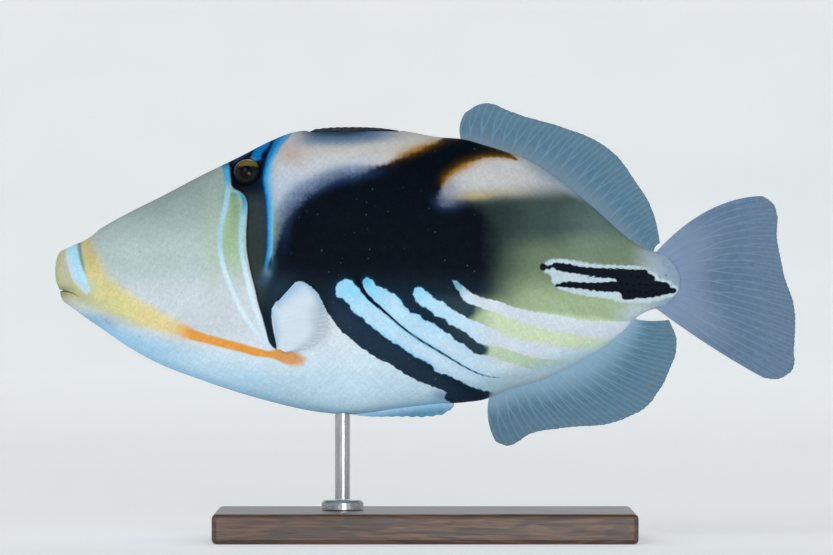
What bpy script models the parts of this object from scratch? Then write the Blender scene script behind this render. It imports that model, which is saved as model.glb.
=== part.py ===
"""A picasso triggerfish as a still, life-size display model on a plain stand.

The fish swims to the left: its head is at -X, its tail at +X and its back is up.
The underside of the stand lies on the plane z = 0, with the model's middle over the origin.
Every size is in millimetres. The meshes are written in metres.
"""
import math

import bmesh
import bpy
import numpy as np
from mathutils import Matrix, Vector

MM = 0.001
GAP = 0.3                     # space kept between two pieces that touch

# The rings round the snout, from the line of the mouth back to the crease behind the lips.
# Each gives the station (x of the flank where it is widest), x and z at the back,
# x and z at the belly, z of the widest line, and the half width.
SNOUT_RINGS = (
    (-115.8, -121.9, 83.6, -121.6, 83.0, 81.2, 5.2),
    (-115.0, -123.0, 86.5, -121.4, 81.4, 81.5, 6.1),
    (-114.2, -123.2, 91.0, -120.6, 79.7, 82.3, 6.8),
    (-113.3, -121.9, 95.7, -118.9, 78.4, 83.3, 7.4),
    (-112.5, -118.6, 97.6, -117.0, 77.0, 84.0, 7.8),
    (-111.6, -115.0, 99.2, -115.0, 75.5, 84.6, 8.1),
    (-107.0, -108.3, 103.7, -108.3, 70.8, 85.2, 9.5),
)
# The upright sections of the trunk: x, z of the back, z of the belly, z of the widest
# line, and the half width.
TRUNK_SECTIONS = (
    (-98.3, 109.3, 64.0, 85.0, 11.4),
    (-88.3, 114.3, 58.6, 84.5, 13.2),
    (-75.0, 121.3, 53.5, 84.0, 15.1),
    (-61.7, 127.8, 49.0, 83.5, 16.8),
    (-51.7, 132.9, 46.2, 83.5, 17.8),
    (-45.0, 135.6, 44.5, 83.5, 18.2),
    (-37.0, 136.8, 42.9, 83.5, 18.5),
    (-25.0, 136.9, 41.9, 84.0, 18.6),
    (-8.3, 136.5, 43.9, 85.0, 18.1),
    (4.5, 134.3, 45.3, 86.0, 17.2),
    (13.3, 133.5, 45.9, 86.5, 16.2),
    (20.0, 131.6, 46.9, 87.0, 15.2),
    (27.0, 129.4, 49.8, 87.5, 13.9),
    (38.3, 124.7, 53.2, 88.0, 11.7),
    (48.3, 117.3, 57.5, 87.5, 9.5),
    (58.3, 109.0, 63.3, 86.8, 7.3),
    (66.7, 101.4, 70.2, 86.4, 5.5),
    (71.7, 98.0, 75.0, 86.4, 4.6),
    (76.0, 96.3, 76.9, 86.4, 3.9),
    (81.5, 95.8, 77.1, 86.4, 2.7),
    (86.0, 96.0, 76.8, 86.4, 1.3),
)
BACK_ROUNDING = 1.15          # 1 gives an elliptical back, more a narrower ridge
BELLY_ROUNDING = 1.20
RING_STEPS = 20               # steps from the back to the belly on one side
MOUTH_DEPTH = 1.8             # how far the slit between the lips goes in

# Where the head meets the torso: an arc from the nape along the gill slit to the breast.
HEAD_END_AT_BACK = -44.8
HEAD_END_SWEEP = -8.2
HEAD_END_POWER = 2.2
GILL_SLIT_ANGLE = math.radians(107.0)
GILL_SLIT_SPREAD = math.radians(17.0)
GILL_SLIT_WIDTH = 1.0
GILL_SLIT_DEPTH = 2.2
TORSO_END = 40.5              # upright cut ahead of the spiny bars of the tail
TAIL_END_AT_EDGES = 78.6      # the stalk of the tail ends in a rounded wedge
TAIL_END_BULGE = 6.2

# Eyes and nostrils
EYE_X = -59.2
EYE_Z = 122.5
EYE_RADIUS = 4.9
EYE_HALF_DEPTH = 3.7
EYE_SINK = 1.9
EYE_OUTWARD = 0.55            # 0 sets the eye square to the skin, 1 square to the side
LID_RADIUS = 5.0
LID_HALF_THICKNESS = 0.95
NOSTRILS = ((-64.9, 124.1), (-63.9, 122.0))
NOSTRIL_RADIUS = 0.55
NOSTRIL_DEPTH = 1.0

# First dorsal fin: three spines folded into a groove of the back
GROOVE_START = -40.6
GROOVE_END = -7.4
GROOVE_HALF_WIDTH = 2.4
GROOVE_DEPTH = 3.4
SPINES = (                    # start, end, side offset, radius at the root, rise at mid length
    (-39.3, -8.8, -0.25, 1.30, 0.90),
    (-33.5, -14.5, 1.00, 0.75, 0.70),
    (-28.0, -17.0, -1.20, 0.60, 0.60),
)

# Second dorsal, anal and tail fins, and the flap under the belly. A rim lists (x, z).
MEMBRANE = 0.5                # thickness of the skin between two rays
DORSAL_RAYS = 24
DORSAL_ROOT = (12.3, 76.2)
DORSAL_RIM = ((13.4, 142.6), (18.0, 145.3), (33.0, 141.3), (45.0, 138.0),
              (62.0, 129.9), (70.0, 120.0), (76.3, 109.0), (78.4, 99.0))
ANAL_RAYS = 22
ANAL_ROOT = (21.6, 69.2)
ANAL_RIM = ((23.6, 32.6), (27.0, 31.3), (36.0, 35.7), (48.0, 37.4), (62.0, 39.0),
            (73.0, 43.8), (81.0, 55.0), (84.0, 66.5), (81.3, 73.4))
CAUDAL_RAYS = 13
CAUDAL_RIM = ((112.5, 114.8), (116.2, 112.4), (117.3, 100.0), (119.8, 88.0), (123.2, 78.0),
              (123.2, 64.0), (122.3, 56.4), (118.3, 53.6), (113.0, 54.0))
FLAP_RAYS = 9
FLAP_ROOT = (-21.0, 10.0)
FLAP_RIM = ((-20.5, 41.3), (-8.0, 41.2), (2.0, 41.3), (6.5, 42.2), (9.6, 44.4))
PECTORAL_RAYS = 13
PECTORAL_ROOT = ((-50.7, 77.2), (-48.9, 64.8))
PECTORAL_RIM = ((-42.6, 86.2), (-38.6, 85.4), (-34.7, 81.0), (-32.0, 75.0), (-31.7, 70.4),
                (-34.6, 66.3), (-39.6, 63.8), (-45.0, 62.8))
PECTORAL_LIFT = 2.4           # how far the fin's rim stands off the flank

# Rows of short hooked spines on each side of the tail: first x, last x, z, count
TAIL_SPINE_ROWS = ((44.5, 74.5, 90.4, 10), (46.5, 82.0, 85.2, 12), (66.0, 79.5, 82.6, 5))
TAIL_SPINE_RADIUS = 0.65
TAIL_SPINE_HEIGHT = 1.2
TAIL_SPINE_LEAN = math.radians(38.0)

# Stand
BASE_LENGTH = 140.0
BASE_WIDTH = 70.0
BASE_HEIGHT = 10.0
BASE_EDGE = 1.6
ROD_X = -27.5
ROD_RADIUS = 2.5
COLLAR_RADIUS = 7.0
COLLAR_HEIGHT = 3.0

rng = np.random.default_rng(7)


def clear_scene():
    for thing in list(bpy.data.objects):
        bpy.data.objects.remove(thing, do_unlink=True)


def make_material(name, colour, roughness, metallic=0.0):
    """A Principled material; the colour is given in sRGB from 0 to 255."""
    material = bpy.data.materials.new(name)
    material.use_nodes = True
    shader = material.node_tree.nodes["Principled BSDF"]
    linear = [((c / 255.0 + 0.055) / 1.055) ** 2.4 for c in colour]
    shader.inputs["Base Color"].default_value = (*linear, 1.0)
    shader.inputs["Roughness"].default_value = roughness
    shader.inputs["Metallic"].default_value = metallic
    material.diffuse_color = (*linear, 1.0)
    return material


def make_object(name, points, faces, material=None, smooth=True):
    """A mesh object from points in millimetres, its doubles merged and its faces turned out."""
    mesh = bpy.data.meshes.new(name)
    mesh.from_pydata([tuple(p) for p in np.asarray(points) * MM], [], faces)
    shape = bmesh.new()
    shape.from_mesh(mesh)
    bmesh.ops.remove_doubles(shape, verts=shape.verts, dist=1e-7)
    bmesh.ops.dissolve_degenerate(shape, edges=shape.edges, dist=1e-7)
    bmesh.ops.recalc_face_normals(shape, faces=shape.faces)
    if shape.calc_volume(signed=True) < 0:
        bmesh.ops.reverse_faces(shape, faces=shape.faces)
    shape.to_mesh(mesh)
    shape.free()
    thing = bpy.data.objects.new(name, mesh)
    bpy.context.scene.collection.objects.link(thing)
    if material:
        mesh.materials.append(material)
    if smooth:
        mesh.shade_smooth()
        mesh.set_sharp_from_angle(angle=math.radians(40.0))
    return thing


def combine(target, others, operation, solver="EXACT"):
    """Join or cut with a whole collection at once, apply it and keep the largest closed surface."""
    group = bpy.data.collections.new(target.name + "_tools")
    bpy.context.scene.collection.children.link(group)
    for other in others:
        bpy.context.scene.collection.objects.unlink(other)
        group.objects.link(other)
    step = target.modifiers.new("combine", "BOOLEAN")
    step.operation = operation
    step.operand_type = "COLLECTION"
    step.collection = group
    step.solver = solver
    bpy.context.view_layer.update()
    graph = bpy.context.evaluated_depsgraph_get()
    mesh = bpy.data.meshes.new_from_object(target.evaluated_get(graph))
    target.modifiers.remove(step)
    old = target.data
    material = old.materials[0] if old.materials else None
    target.data = mesh
    bpy.data.meshes.remove(old)
    for other in list(others):
        bpy.data.objects.remove(other, do_unlink=True)
    bpy.data.collections.remove(group)
    mesh.materials.clear()
    if material:
        mesh.materials.append(material)
    keep_largest(target)


def keep_largest(target):
    """Merge the doubles that a join leaves and drop every shell but the largest."""
    shape = bmesh.new()
    shape.from_mesh(target.data)
    bmesh.ops.remove_doubles(shape, verts=shape.verts, dist=2e-6)
    bmesh.ops.dissolve_degenerate(shape, edges=shape.edges, dist=2e-6)
    left = set(shape.faces)
    shells = []
    while left:
        shell = set()
        edge_of_search = [left.pop()]
        while edge_of_search:
            face = edge_of_search.pop()
            shell.add(face)
            for edge in face.edges:
                for near in edge.link_faces:
                    if near in left:
                        left.discard(near)
                        edge_of_search.append(near)
        shells.append(shell)
    shells.sort(key=lambda shell: sum(face.calc_area() for face in shell))
    for shell in shells[:-1]:
        bmesh.ops.delete(shape, geom=list(shell), context="FACES")
    shape.to_mesh(target.data)
    shape.free()
    target.data.shade_smooth()
    target.data.set_sharp_from_angle(angle=math.radians(40.0))


def smooth_curve(knots, values, at):
    """Read a smooth curve through the values at the knots.

    Each span is a cubic. Its end slopes are those of the parabola through three knots.
    """
    knots = np.asarray(knots, float)
    values = np.asarray(values, float).reshape(len(knots), -1)
    at = np.clip(np.asarray(at, float), knots[0], knots[-1])
    width = np.diff(knots)[:, None]
    slope = np.diff(values, axis=0) / width
    bend = np.empty_like(values)
    bend[1:-1] = (width[1:] * slope[:-1] + width[:-1] * slope[1:]) / (width[1:] + width[:-1])
    bend[0] = slope[0]
    bend[-1] = slope[-1]
    i = np.clip(np.searchsorted(knots, at, side="right") - 1, 0, len(knots) - 2)
    h = width[i]
    t = (at[..., None] - knots[i][..., None]) / h
    return ((1 + 2 * t) * (1 - t) ** 2 * values[i] + t * (1 - t) ** 2 * h * bend[i]
            + t * t * (3 - 2 * t) * values[i + 1] + t * t * (t - 1) * h * bend[i + 1])


def smooth_step(value, low, high):
    t = np.clip((value - low) / (high - low), 0.0, 1.0)
    return t * t * (3 - 2 * t)


BODY_TABLE = np.array(list(SNOUT_RINGS) + [(x, x, back, x, belly, side, half)
                                           for x, back, belly, side, half in TRUNK_SECTIONS])


def body_columns(station):
    columns = smooth_curve(BODY_TABLE[:, 0], BODY_TABLE[:, 1:], station)
    return [columns[..., k] for k in range(6)]


def body_point(station, angle, side=-1):
    """A point of the skin: the angle runs from 0 at the back to pi at the belly.

    Height follows the cosine of the angle from the widest line to the back or the belly,
    and half width a power of its sine. Round the snout x leans from the flank to the
    midline with the squared cosine. Side is -1 for the left flank and 1 for the right.
    """
    station, angle = np.broadcast_arrays(np.asarray(station, float), np.asarray(angle, float))
    back_x, back_z, belly_x, belly_z, side_z, half = body_columns(station)
    upper = angle <= math.pi / 2
    reach = np.abs(np.cos(angle))
    x = station + (np.where(upper, back_x, belly_x) - station) * reach ** 2
    z = side_z + (np.where(upper, back_z, belly_z) - side_z) * reach
    power = np.where(upper, BACK_ROUNDING, BELLY_ROUNDING)
    y = side * half * np.clip(np.sin(angle), 0.0, 1.0) ** power
    return np.stack([x, y, z], axis=-1)


def back_height(x):
    return body_columns(np.asarray(x, float))[1]


def belly_height(x):
    return body_columns(np.asarray(x, float))[3]


def angle_at(x, z):
    """The angle of body_point at height z of the upright section at x."""
    _, back_z, _, belly_z, side_z, _ = body_columns(np.asarray(x, float))
    upper = z >= side_z
    reach = np.where(upper, (z - side_z) / (back_z - side_z), (side_z - z) / (side_z - belly_z))
    reach = np.arccos(np.clip(reach, 0.0, 1.0))
    return np.where(upper, reach, math.pi - reach)


def flank_point(x, z, side=-1):
    return body_point(x, angle_at(x, z), side)


def flank_normal(x, z, side=-1):
    """The outward direction of the skin at height z of the section at x."""
    step = 0.4
    along = flank_point(x + step, z, side) - flank_point(x - step, z, side)
    down = flank_point(x, z - step, side) - flank_point(x, z + step, side)
    normal = np.cross(along, down) * side
    return normal / np.linalg.norm(normal, axis=-1, keepdims=True)


def ring_angles():
    """Angles once round the body: down the left side and up the right one."""
    half = np.linspace(0.0, math.pi, RING_STEPS + 1)
    angle = np.concatenate([half, half[-2:0:-1]])
    side = np.concatenate([-np.ones(RING_STEPS + 1), np.ones(RING_STEPS - 1)])
    return angle, side


def body_ring(station, angle, side):
    points = body_point(station, angle, -1)
    points[:, 1] *= -side
    return points


def skin_faces(rows, count):
    """Quads between neighbouring rings of equal count."""
    faces = []
    for row in range(rows - 1):
        for k in range(count):
            n = (k + 1) % count
            faces.append((row * count + k, row * count + n, (row + 1) * count + n, (row + 1) * count + k))
    return faces


def rung_faces(start, count):
    """Faces across one ring, from each point of the left side to its mirror on the right."""
    half = count // 2
    faces = []
    for k in range(half):
        a, b = start + k, start + k + 1
        c, d = start + (count - k - 1) % count, start + (count - k) % count
        faces.append(tuple(dict.fromkeys((a, b, c, d))))
    return faces


def head_end(angle):
    return HEAD_END_AT_BACK + HEAD_END_SWEEP * np.sin(angle) ** HEAD_END_POWER


def build_head(material):
    """Rings from the slit of the mouth to the gill slit."""
    angle, side = ring_angles()
    end = head_end(angle)
    stations = [r[0] for r in SNOUT_RINGS[:6]]
    stations += [-109.6, -106.5, -102.5, -98.0, -93.0, -88.0, -83.0, -78.0, -73.5,
                 -69.5, -65.8, -62.4, -59.2, -56.2, -53.6]
    shift_start, last = -86.0, -51.0
    rings = []
    throat = body_ring(np.full(angle.shape, stations[0]), angle, side)
    middle = (throat[0, 2] + throat[RING_STEPS, 2]) / 2
    reach = np.abs(np.cos(angle))
    throat[:, 0] += MOUTH_DEPTH
    throat[:, 1] *= 0.82
    throat[:, 2] = throat[RING_STEPS // 2, 2] + (middle - throat[RING_STEPS // 2, 2]) * reach
    rings.append(throat)
    for station in stations + [last]:
        moved = station + (end - last) * smooth_step(station, shift_start, last)
        rings.append(body_ring(moved, angle, side))
    count = len(angle)
    faces = skin_faces(len(rings), count)
    faces += rung_faces((len(rings) - 1) * count, count)
    points = np.concatenate(rings)
    head = make_object("head", points, zip_throat(faces, count), material)
    dress_head(head)
    return head


def zip_throat(faces, count):
    """Share the points of the innermost ring of the mouth between the upper and the lower lip."""
    half = count // 2
    partner = list(range(count))
    for k in range(half + 1):
        mirror = half - k
        if k > mirror:
            partner[k] = mirror
    for k in range(half + 1, count):
        mirror = (half - k) % count
        if mirror < k and mirror > half:
            partner[k] = mirror
    closed = []
    for face in faces:
        face = tuple(dict.fromkeys(partner[i] if i < count else i for i in face))
        if len(face) > 2:
            closed.append(face)
    return closed


def frame_on_flank(x, z, side, outward=0.0):
    """A matrix with its origin on the skin and its Z axis out of it, X along the body.

    Outward turns the Z axis from square to the skin (0) to square to the fish's side (1).
    """
    origin = flank_point(x, z, side)
    out = Vector(flank_normal(x, z, side)).lerp(Vector((0.0, side, 0.0)), outward).normalized()
    along = Vector((1.0, 0.0, 0.0))
    along = (along - along.dot(out) * out).normalized()
    up = out.cross(along)
    turn = Matrix((along, up, out)).transposed().to_4x4()
    return Matrix.Translation(Vector(origin) * MM) @ turn


def eye_frame(side, sink):
    """The frame of an eye, sunk below the skin along its own axis."""
    place = frame_on_flank(EYE_X, EYE_Z, side, EYE_OUTWARD)
    return place @ Matrix.Translation((0, 0, -sink * MM))


def ball(name, radius, half_depth, segments, rings):
    """A flattened ball whose poles lie on its Z axis."""
    shape = bmesh.new()
    bmesh.ops.create_uvsphere(shape, u_segments=segments, v_segments=rings, radius=1.0)
    bmesh.ops.scale(shape, verts=shape.verts, vec=(radius * MM, radius * MM, half_depth * MM))
    mesh = bpy.data.meshes.new(name)
    shape.to_mesh(mesh)
    shape.free()
    mesh.shade_smooth()
    thing = bpy.data.objects.new(name, mesh)
    bpy.context.scene.collection.objects.link(thing)
    return thing


def lid_ring(place):
    """A closed ring of round section that lies on the skin round the eye."""
    turns, sides = 24, 6
    u = np.linspace(0.0, 2 * math.pi, turns, endpoint=False)[:, None]
    v = np.linspace(0.0, 2 * math.pi, sides, endpoint=False)[None, :]
    reach = LID_RADIUS + LID_HALF_THICKNESS * np.cos(v)
    points = np.stack([reach * np.cos(u), reach * np.sin(u),
                       LID_HALF_THICKNESS * np.sin(v) + 0 * u - 0.1], axis=-1).reshape(-1, 3)
    faces = []
    for i in range(turns):
        for j in range(sides):
            i2, j2 = (i + 1) % turns, (j + 1) % sides
            faces.append((i * sides + j, i2 * sides + j, i2 * sides + j2, i * sides + j2))
    ring = make_object("lid", points, faces)
    ring.matrix_world = place
    return ring


def dress_head(head):
    """Add the lids, then cut the sockets of the eyes and the nostrils."""
    combine(head, [lid_ring(eye_frame(side, 0.0)) for side in (-1, 1)], "UNION")
    cutters = []
    for side in (-1, 1):
        socket = ball("socket", EYE_RADIUS + GAP, EYE_HALF_DEPTH + GAP, 24, 12)
        socket.matrix_world = eye_frame(side, EYE_SINK)
        cutters.append(socket)
        for x, z in NOSTRILS:
            pit = ball("nostril", NOSTRIL_RADIUS, NOSTRIL_DEPTH, 8, 6)
            pit.matrix_world = frame_on_flank(x, z, side)
            cutters.append(pit)
    combine(head, cutters, "DIFFERENCE")


def build_eye(name, side, material):
    eye = ball(name, EYE_RADIUS, EYE_HALF_DEPTH, 20, 12)
    eye.matrix_world = eye_frame(side, EYE_SINK)
    eye.data.materials.append(material)
    return eye


def build_torso(material):
    """Rings from the gill slit to the cut ahead of the tail, with the groove of the back."""
    angle, side = ring_angles()
    start = head_end(angle) + GAP
    slit = GILL_SLIT_WIDTH * np.exp(-((angle - GILL_SLIT_ANGLE) / GILL_SLIT_SPREAD) ** 4)
    first, shift_end = -50.7, -8.0
    stations = [first, -48.0, -44.5, -40.5, -36.0, -31.0, -26.0, -21.0, -16.0, -11.0,
                -6.0, -1.0, 4.0, 9.0, 14.0, 18.5, 23.0, 27.5, 32.0, 36.5, TORSO_END]
    inner = body_ring(start, angle, side)
    inset = np.minimum(GILL_SLIT_DEPTH, 0.5 * np.abs(inner[:, 1]))
    inner[:, 1] -= np.sign(inner[:, 1]) * inset
    rings = [inner]
    for station in stations:
        fade = 1.0 - smooth_step(station, first, shift_end)
        edge = slit * (1.0 - smooth_step(station, first, first + 3.0))
        rings.append(body_ring(station + (start - first) * fade + edge, angle, side))
    count = len(angle)
    faces = rung_faces(0, count) + skin_faces(len(rings), count)
    faces += rung_faces((len(rings) - 1) * count, count)
    torso = make_object("torso", np.concatenate(rings), faces, material)
    combine(torso, [groove_cutter()], "DIFFERENCE")
    return torso


def tube(centres, half_widths, half_heights, sides):
    """Points and faces of a closed tube along X with elliptical sections and pointed ends."""
    turn = np.linspace(0.0, 2 * math.pi, sides, endpoint=False)
    rings = [c + np.stack([0 * turn, w * np.cos(turn), h * np.sin(turn)], axis=-1)
             for c, w, h in zip(centres, half_widths, half_heights)]
    count = len(rings)
    faces = skin_faces(count, sides)
    tip_a, tip_b = count * sides, count * sides + 1
    for k in range(sides):
        n = (k + 1) % sides
        faces.append((tip_a, n, k))
        faces.append((tip_b, (count - 1) * sides + k, (count - 1) * sides + n))
    ends = np.array([centres[0] - (half_widths[0] * 0.5, 0, 0),
                     centres[-1] + (half_widths[-1] * 0.9, 0, 0)])
    return np.concatenate(rings + [ends]), faces


def groove_cutter():
    """The groove that takes the folded spines: wide and deep in front, narrow behind."""
    t = np.linspace(0.0, 1.0, 14)
    x = GROOVE_START + (GROOVE_END - GROOVE_START) * t
    depth = GROOVE_DEPTH * (1 - t) + 1.6 * t
    half = (GROOVE_HALF_WIDTH * (1 - t) + 1.3 * t) * (1 - 0.35 * smooth_step(t, 0.9, 1.0))
    above = 3.0
    centre_z = back_height(x) + (above - depth) / 2
    centres = np.stack([x, 0 * x, centre_z], axis=-1)
    points, faces = tube(centres, half, (above + depth) / 2, 10)
    return make_object("groove", points, faces)


def build_first_dorsal(material):
    """Three tapered spines that lie in the groove, joined by the folded skin between them."""
    pieces = []
    for start, end, aside, radius, rise in SPINES:
        t = np.linspace(0.0, 1.0, 12)
        x = start + (end - start) * t
        along = (x - SPINES[0][0]) / (SPINES[0][1] - SPINES[0][0])
        sunk = -1.5 * (1 - along) - 0.45 * along
        z = back_height(x) + sunk + rise * np.sin(math.pi * t)
        size = radius * (1 - t) + 0.35 * t
        rough = 1 + 0.07 * np.cos(np.arange(len(t)) * math.pi)
        centres = np.stack([x, aside * (1 - 0.6 * t), z], axis=-1)
        points, faces = tube(centres, size * 0.9 * rough, size * rough, 8)
        pieces.append(make_object("spine", points, faces))
    t = np.linspace(0.0, 1.0, 10)
    x = -37.0 + 26.0 * t
    z = back_height(x) - 1.5 * (1 - t) - 0.75 * t
    centres = np.stack([x, 0.15 * np.sin(7 * t), z], axis=-1)
    points, faces = tube(centres, 1.55 * (1 - t) + 0.5 * t, 0.8 * (1 - t) + 0.45 * t, 8)
    fin = make_object("first_dorsal_fin", points, faces, material)
    combine(fin, pieces, "UNION")
    return fin


def tail_end(angle):
    return TAIL_END_AT_EDGES + TAIL_END_BULGE * np.sin(angle) ** 2


def build_tail(material):
    """The rear of the body and the stalk of the tail, with its rows of short spines."""
    angle, side = ring_angles()
    end = tail_end(angle)
    first, last = TORSO_END + GAP, 80.5
    stations = [first, 45.0, 49.5, 54.0, 58.5, 62.5, 66.0, 69.0, 72.0, 75.0, 78.0, last]
    rings = []
    for station in stations:
        rings.append(body_ring(station + (end - last) * smooth_step(station, 62.0, last), angle, side))
    count = len(angle)
    faces = rung_faces(0, count) + skin_faces(len(rings), count)
    faces += rung_faces((len(rings) - 1) * count, count)
    tail = make_object("tail", np.concatenate(rings), faces, material)
    combine(tail, tail_spines(), "UNION")
    return tail


def tail_spines():
    """Short cones whose roots are sunk in the skin and whose points lean to the head."""
    sides = 5
    turn = np.linspace(0.0, 2 * math.pi, sides, endpoint=False)
    root = -0.7
    spines = []
    for side in (-1, 1):
        for first_x, last_x, z, count in TAIL_SPINE_ROWS:
            for x in np.linspace(first_x, last_x, count):
                size = rng.uniform(0.85, 1.15)
                height = TAIL_SPINE_HEIGHT * size
                low = np.stack([TAIL_SPINE_RADIUS * size * np.cos(turn),
                                TAIL_SPINE_RADIUS * size * np.sin(turn), 0 * turn + root], axis=-1)
                tip = np.array([[-height * math.tan(TAIL_SPINE_LEAN), 0.0, height]])
                points = np.concatenate([low, tip])
                faces = [tuple(range(sides))[::-1]]
                faces += [(k, (k + 1) % sides, sides) for k in range(sides)]
                cone = make_object("tail_spine", points, faces)
                cone.matrix_world = frame_on_flank(x, z + rng.uniform(-0.15, 0.15), side)
                spines.append(cone)
    return spines


def even_steps(points, fractions):
    """Points at the given fractions of the length of a smooth curve through the points."""
    points = np.asarray(points, float)
    knots = np.concatenate([[0.0], np.cumsum(np.linalg.norm(np.diff(points, axis=0), axis=1))])
    fine = smooth_curve(knots, points, np.linspace(0.0, knots[-1], 400))
    reach = np.concatenate([[0.0], np.cumsum(np.linalg.norm(np.diff(fine, axis=0), axis=1))])
    want = np.asarray(fractions) * reach[-1]
    return np.stack([np.interp(want, reach, fine[:, k]) for k in range(points.shape[1])], axis=-1)


def sheet_object(name, middle, normal, half, material):
    """A thin closed sheet: two faces of equal triangles round a grid of middle points."""
    rows, columns = middle.shape[:2]
    left = (middle - normal * half[..., None]).reshape(-1, 3)
    right = (middle + normal * half[..., None]).reshape(-1, 3)
    total = rows * columns
    faces = []
    for i in range(rows - 1):
        for j in range(columns - 1):
            a = i * columns + j
            b, c, d = a + 1, a + columns + 1, a + columns
            faces += [(a, b, c), (a, c, d)]
            faces += [(a + total, c + total, b + total), (a + total, d + total, c + total)]
    border = [j for j in range(columns)]
    border += [i * columns + columns - 1 for i in range(1, rows)]
    border += [(rows - 1) * columns + j for j in range(columns - 2, -1, -1)]
    border += [i * columns for i in range(rows - 2, 0, -1)]
    for k, a in enumerate(border):
        b = border[(k + 1) % len(border)]
        faces += [(a, a + total, b), (b, a + total, b + total)]
    return make_object(name, np.concatenate([left, right]), faces, material, smooth=True)


def ray_crests(rays, parts):
    """How far each column of a fin is on a ray: 1 on it, 0 between two rays."""
    columns = np.arange((rays - 1) * parts + 1)
    from_ray = np.abs((columns % parts) / parts)
    from_ray = np.minimum(from_ray, 1 - from_ray)
    return columns / columns[-1], from_ray


def upright_fin(name, root, rim, bow, rays, thick, sway, material, rows=7):
    """A fin in the fish's middle plane, its rays raised as ridges on both faces.

    A point at u along the fin and v up its ray lies between root(u) and rim(u), pushed
    aside by bow(u) times 4 v (1 - v). Thick is (root, rim) of the ridges in millimetres.
    """
    u, from_ray = ray_crests(rays, 2)
    v = np.linspace(0.0, 1.0, rows)[:, None]
    flat = (1 - v)[..., None] * root(u)[None] + v[..., None] * rim(u)[None]
    flat = flat + (4 * v * (1 - v))[..., None] * bow(u)[None]
    middle = np.stack([flat[..., 0], sway(u[None, :], v), flat[..., 1]], axis=-1)
    ridge = thick[0] + (thick[1] - thick[0]) * v
    skin = MEMBRANE + (0.4 - MEMBRANE) * v
    half = 0.5 * np.where(from_ray[None, :] < 0.25, ridge, skin)
    normal = np.zeros_like(middle)
    normal[..., 1] = 1.0
    return sheet_object(name, middle, normal, half, material)


def root_line(span, height, away):
    """Root points of an upright fin, a gap off the back (away 1) or the belly (away -1)."""
    x = np.linspace(span[0], span[1], 60)
    points = np.stack([x, height(x) + away * GAP], axis=-1)
    return lambda u: even_steps(points, u)


def build_second_dorsal(material):
    root = root_line(DORSAL_ROOT, back_height, 1)
    return upright_fin(
        "second_dorsal_fin", root,
        lambda u: even_steps(DORSAL_RIM, u + 0.3 * u * (1 - u)),
        lambda u: np.stack([-1.3 * (1 - u) ** 3 - 0.6 * u, 0.5 * u], axis=-1),
        DORSAL_RAYS, (1.1, 0.6),
        lambda u, v: 1.3 * v ** 1.6 * np.sin(9.0 * u + 0.6), material)


def build_anal(material):
    root = root_line(ANAL_ROOT, belly_height, -1)
    return upright_fin(
        "anal_fin", root,
        lambda u: even_steps(ANAL_RIM, u + 0.3 * u * (1 - u)),
        lambda u: np.stack([-1.6 * (1 - u) ** 3 - 0.6 * u, -0.6 * u], axis=-1),
        ANAL_RAYS, (1.1, 0.6),
        lambda u, v: 1.2 * v ** 1.6 * np.sin(8.0 * u + 2.4), material)


def build_flap(material):
    root = root_line(FLAP_ROOT, belly_height, -1)
    return upright_fin(
        "pelvic_flap", root,
        lambda u: even_steps(FLAP_RIM, u),
        lambda u: np.stack([0 * u, 0 * u], axis=-1),
        FLAP_RAYS, (1.6, 0.8),
        lambda u, v: 0 * (u + v), material, rows=4)


def build_caudal(material):
    """The tail fin: its rays fan out from the wedge of the stalk and fork half way."""
    parts = 4
    u, from_ray = ray_crests(CAUDAL_RAYS, parts)
    v = np.linspace(0.0, 1.0, 9)[:, None]
    angle = np.linspace(0.0, math.pi, 60)
    wedge = body_point(tail_end(angle), angle)[:, (0, 2)] + (GAP, 0.0)
    root = even_steps(wedge, u)
    rim = even_steps(CAUDAL_RIM, u)
    flat = (1 - v)[..., None] * root[None] + v[..., None] * rim[None]
    bow = np.stack([-0.8 + 1.2 * u, 4.3 - 5.5 * u], axis=-1)
    flat = flat + (4 * v * (1 - v))[..., None] * bow[None]
    pleat = 0.9 * v ** 1.4 * np.sin(15.0 * u[None, :]) + 0.8 * v * smooth_step(u[None, :], 0.4, 0.55)
    middle = np.stack([flat[..., 0], pleat, flat[..., 1]], axis=-1)
    forked = smooth_step(v, 0.35, 0.6)
    on_ray = np.where(from_ray < 0.1, 1.0, 0.0)[None, :]
    on_fork = np.where(np.abs(from_ray - 0.25) < 0.1, 1.0, 0.0)[None, :]
    edge = np.where((u < 0.01) | (u > 0.99), 1.0, 0.0)[None, :]
    crest = on_ray * np.maximum(1 - 0.85 * forked, edge) + on_fork * 0.8 * forked
    skin = 0.9 * (1 - v) ** 3 + MEMBRANE * (1 - (1 - v) ** 3) - 0.1 * v
    half = 0.5 * (skin + 0.5 * (1 - 0.5 * v) * crest)
    half[0] = 0.9
    normal = np.zeros_like(middle)
    normal[..., 1] = 1.0
    return sheet_object("caudal_fin", middle, normal, half, material)


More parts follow.
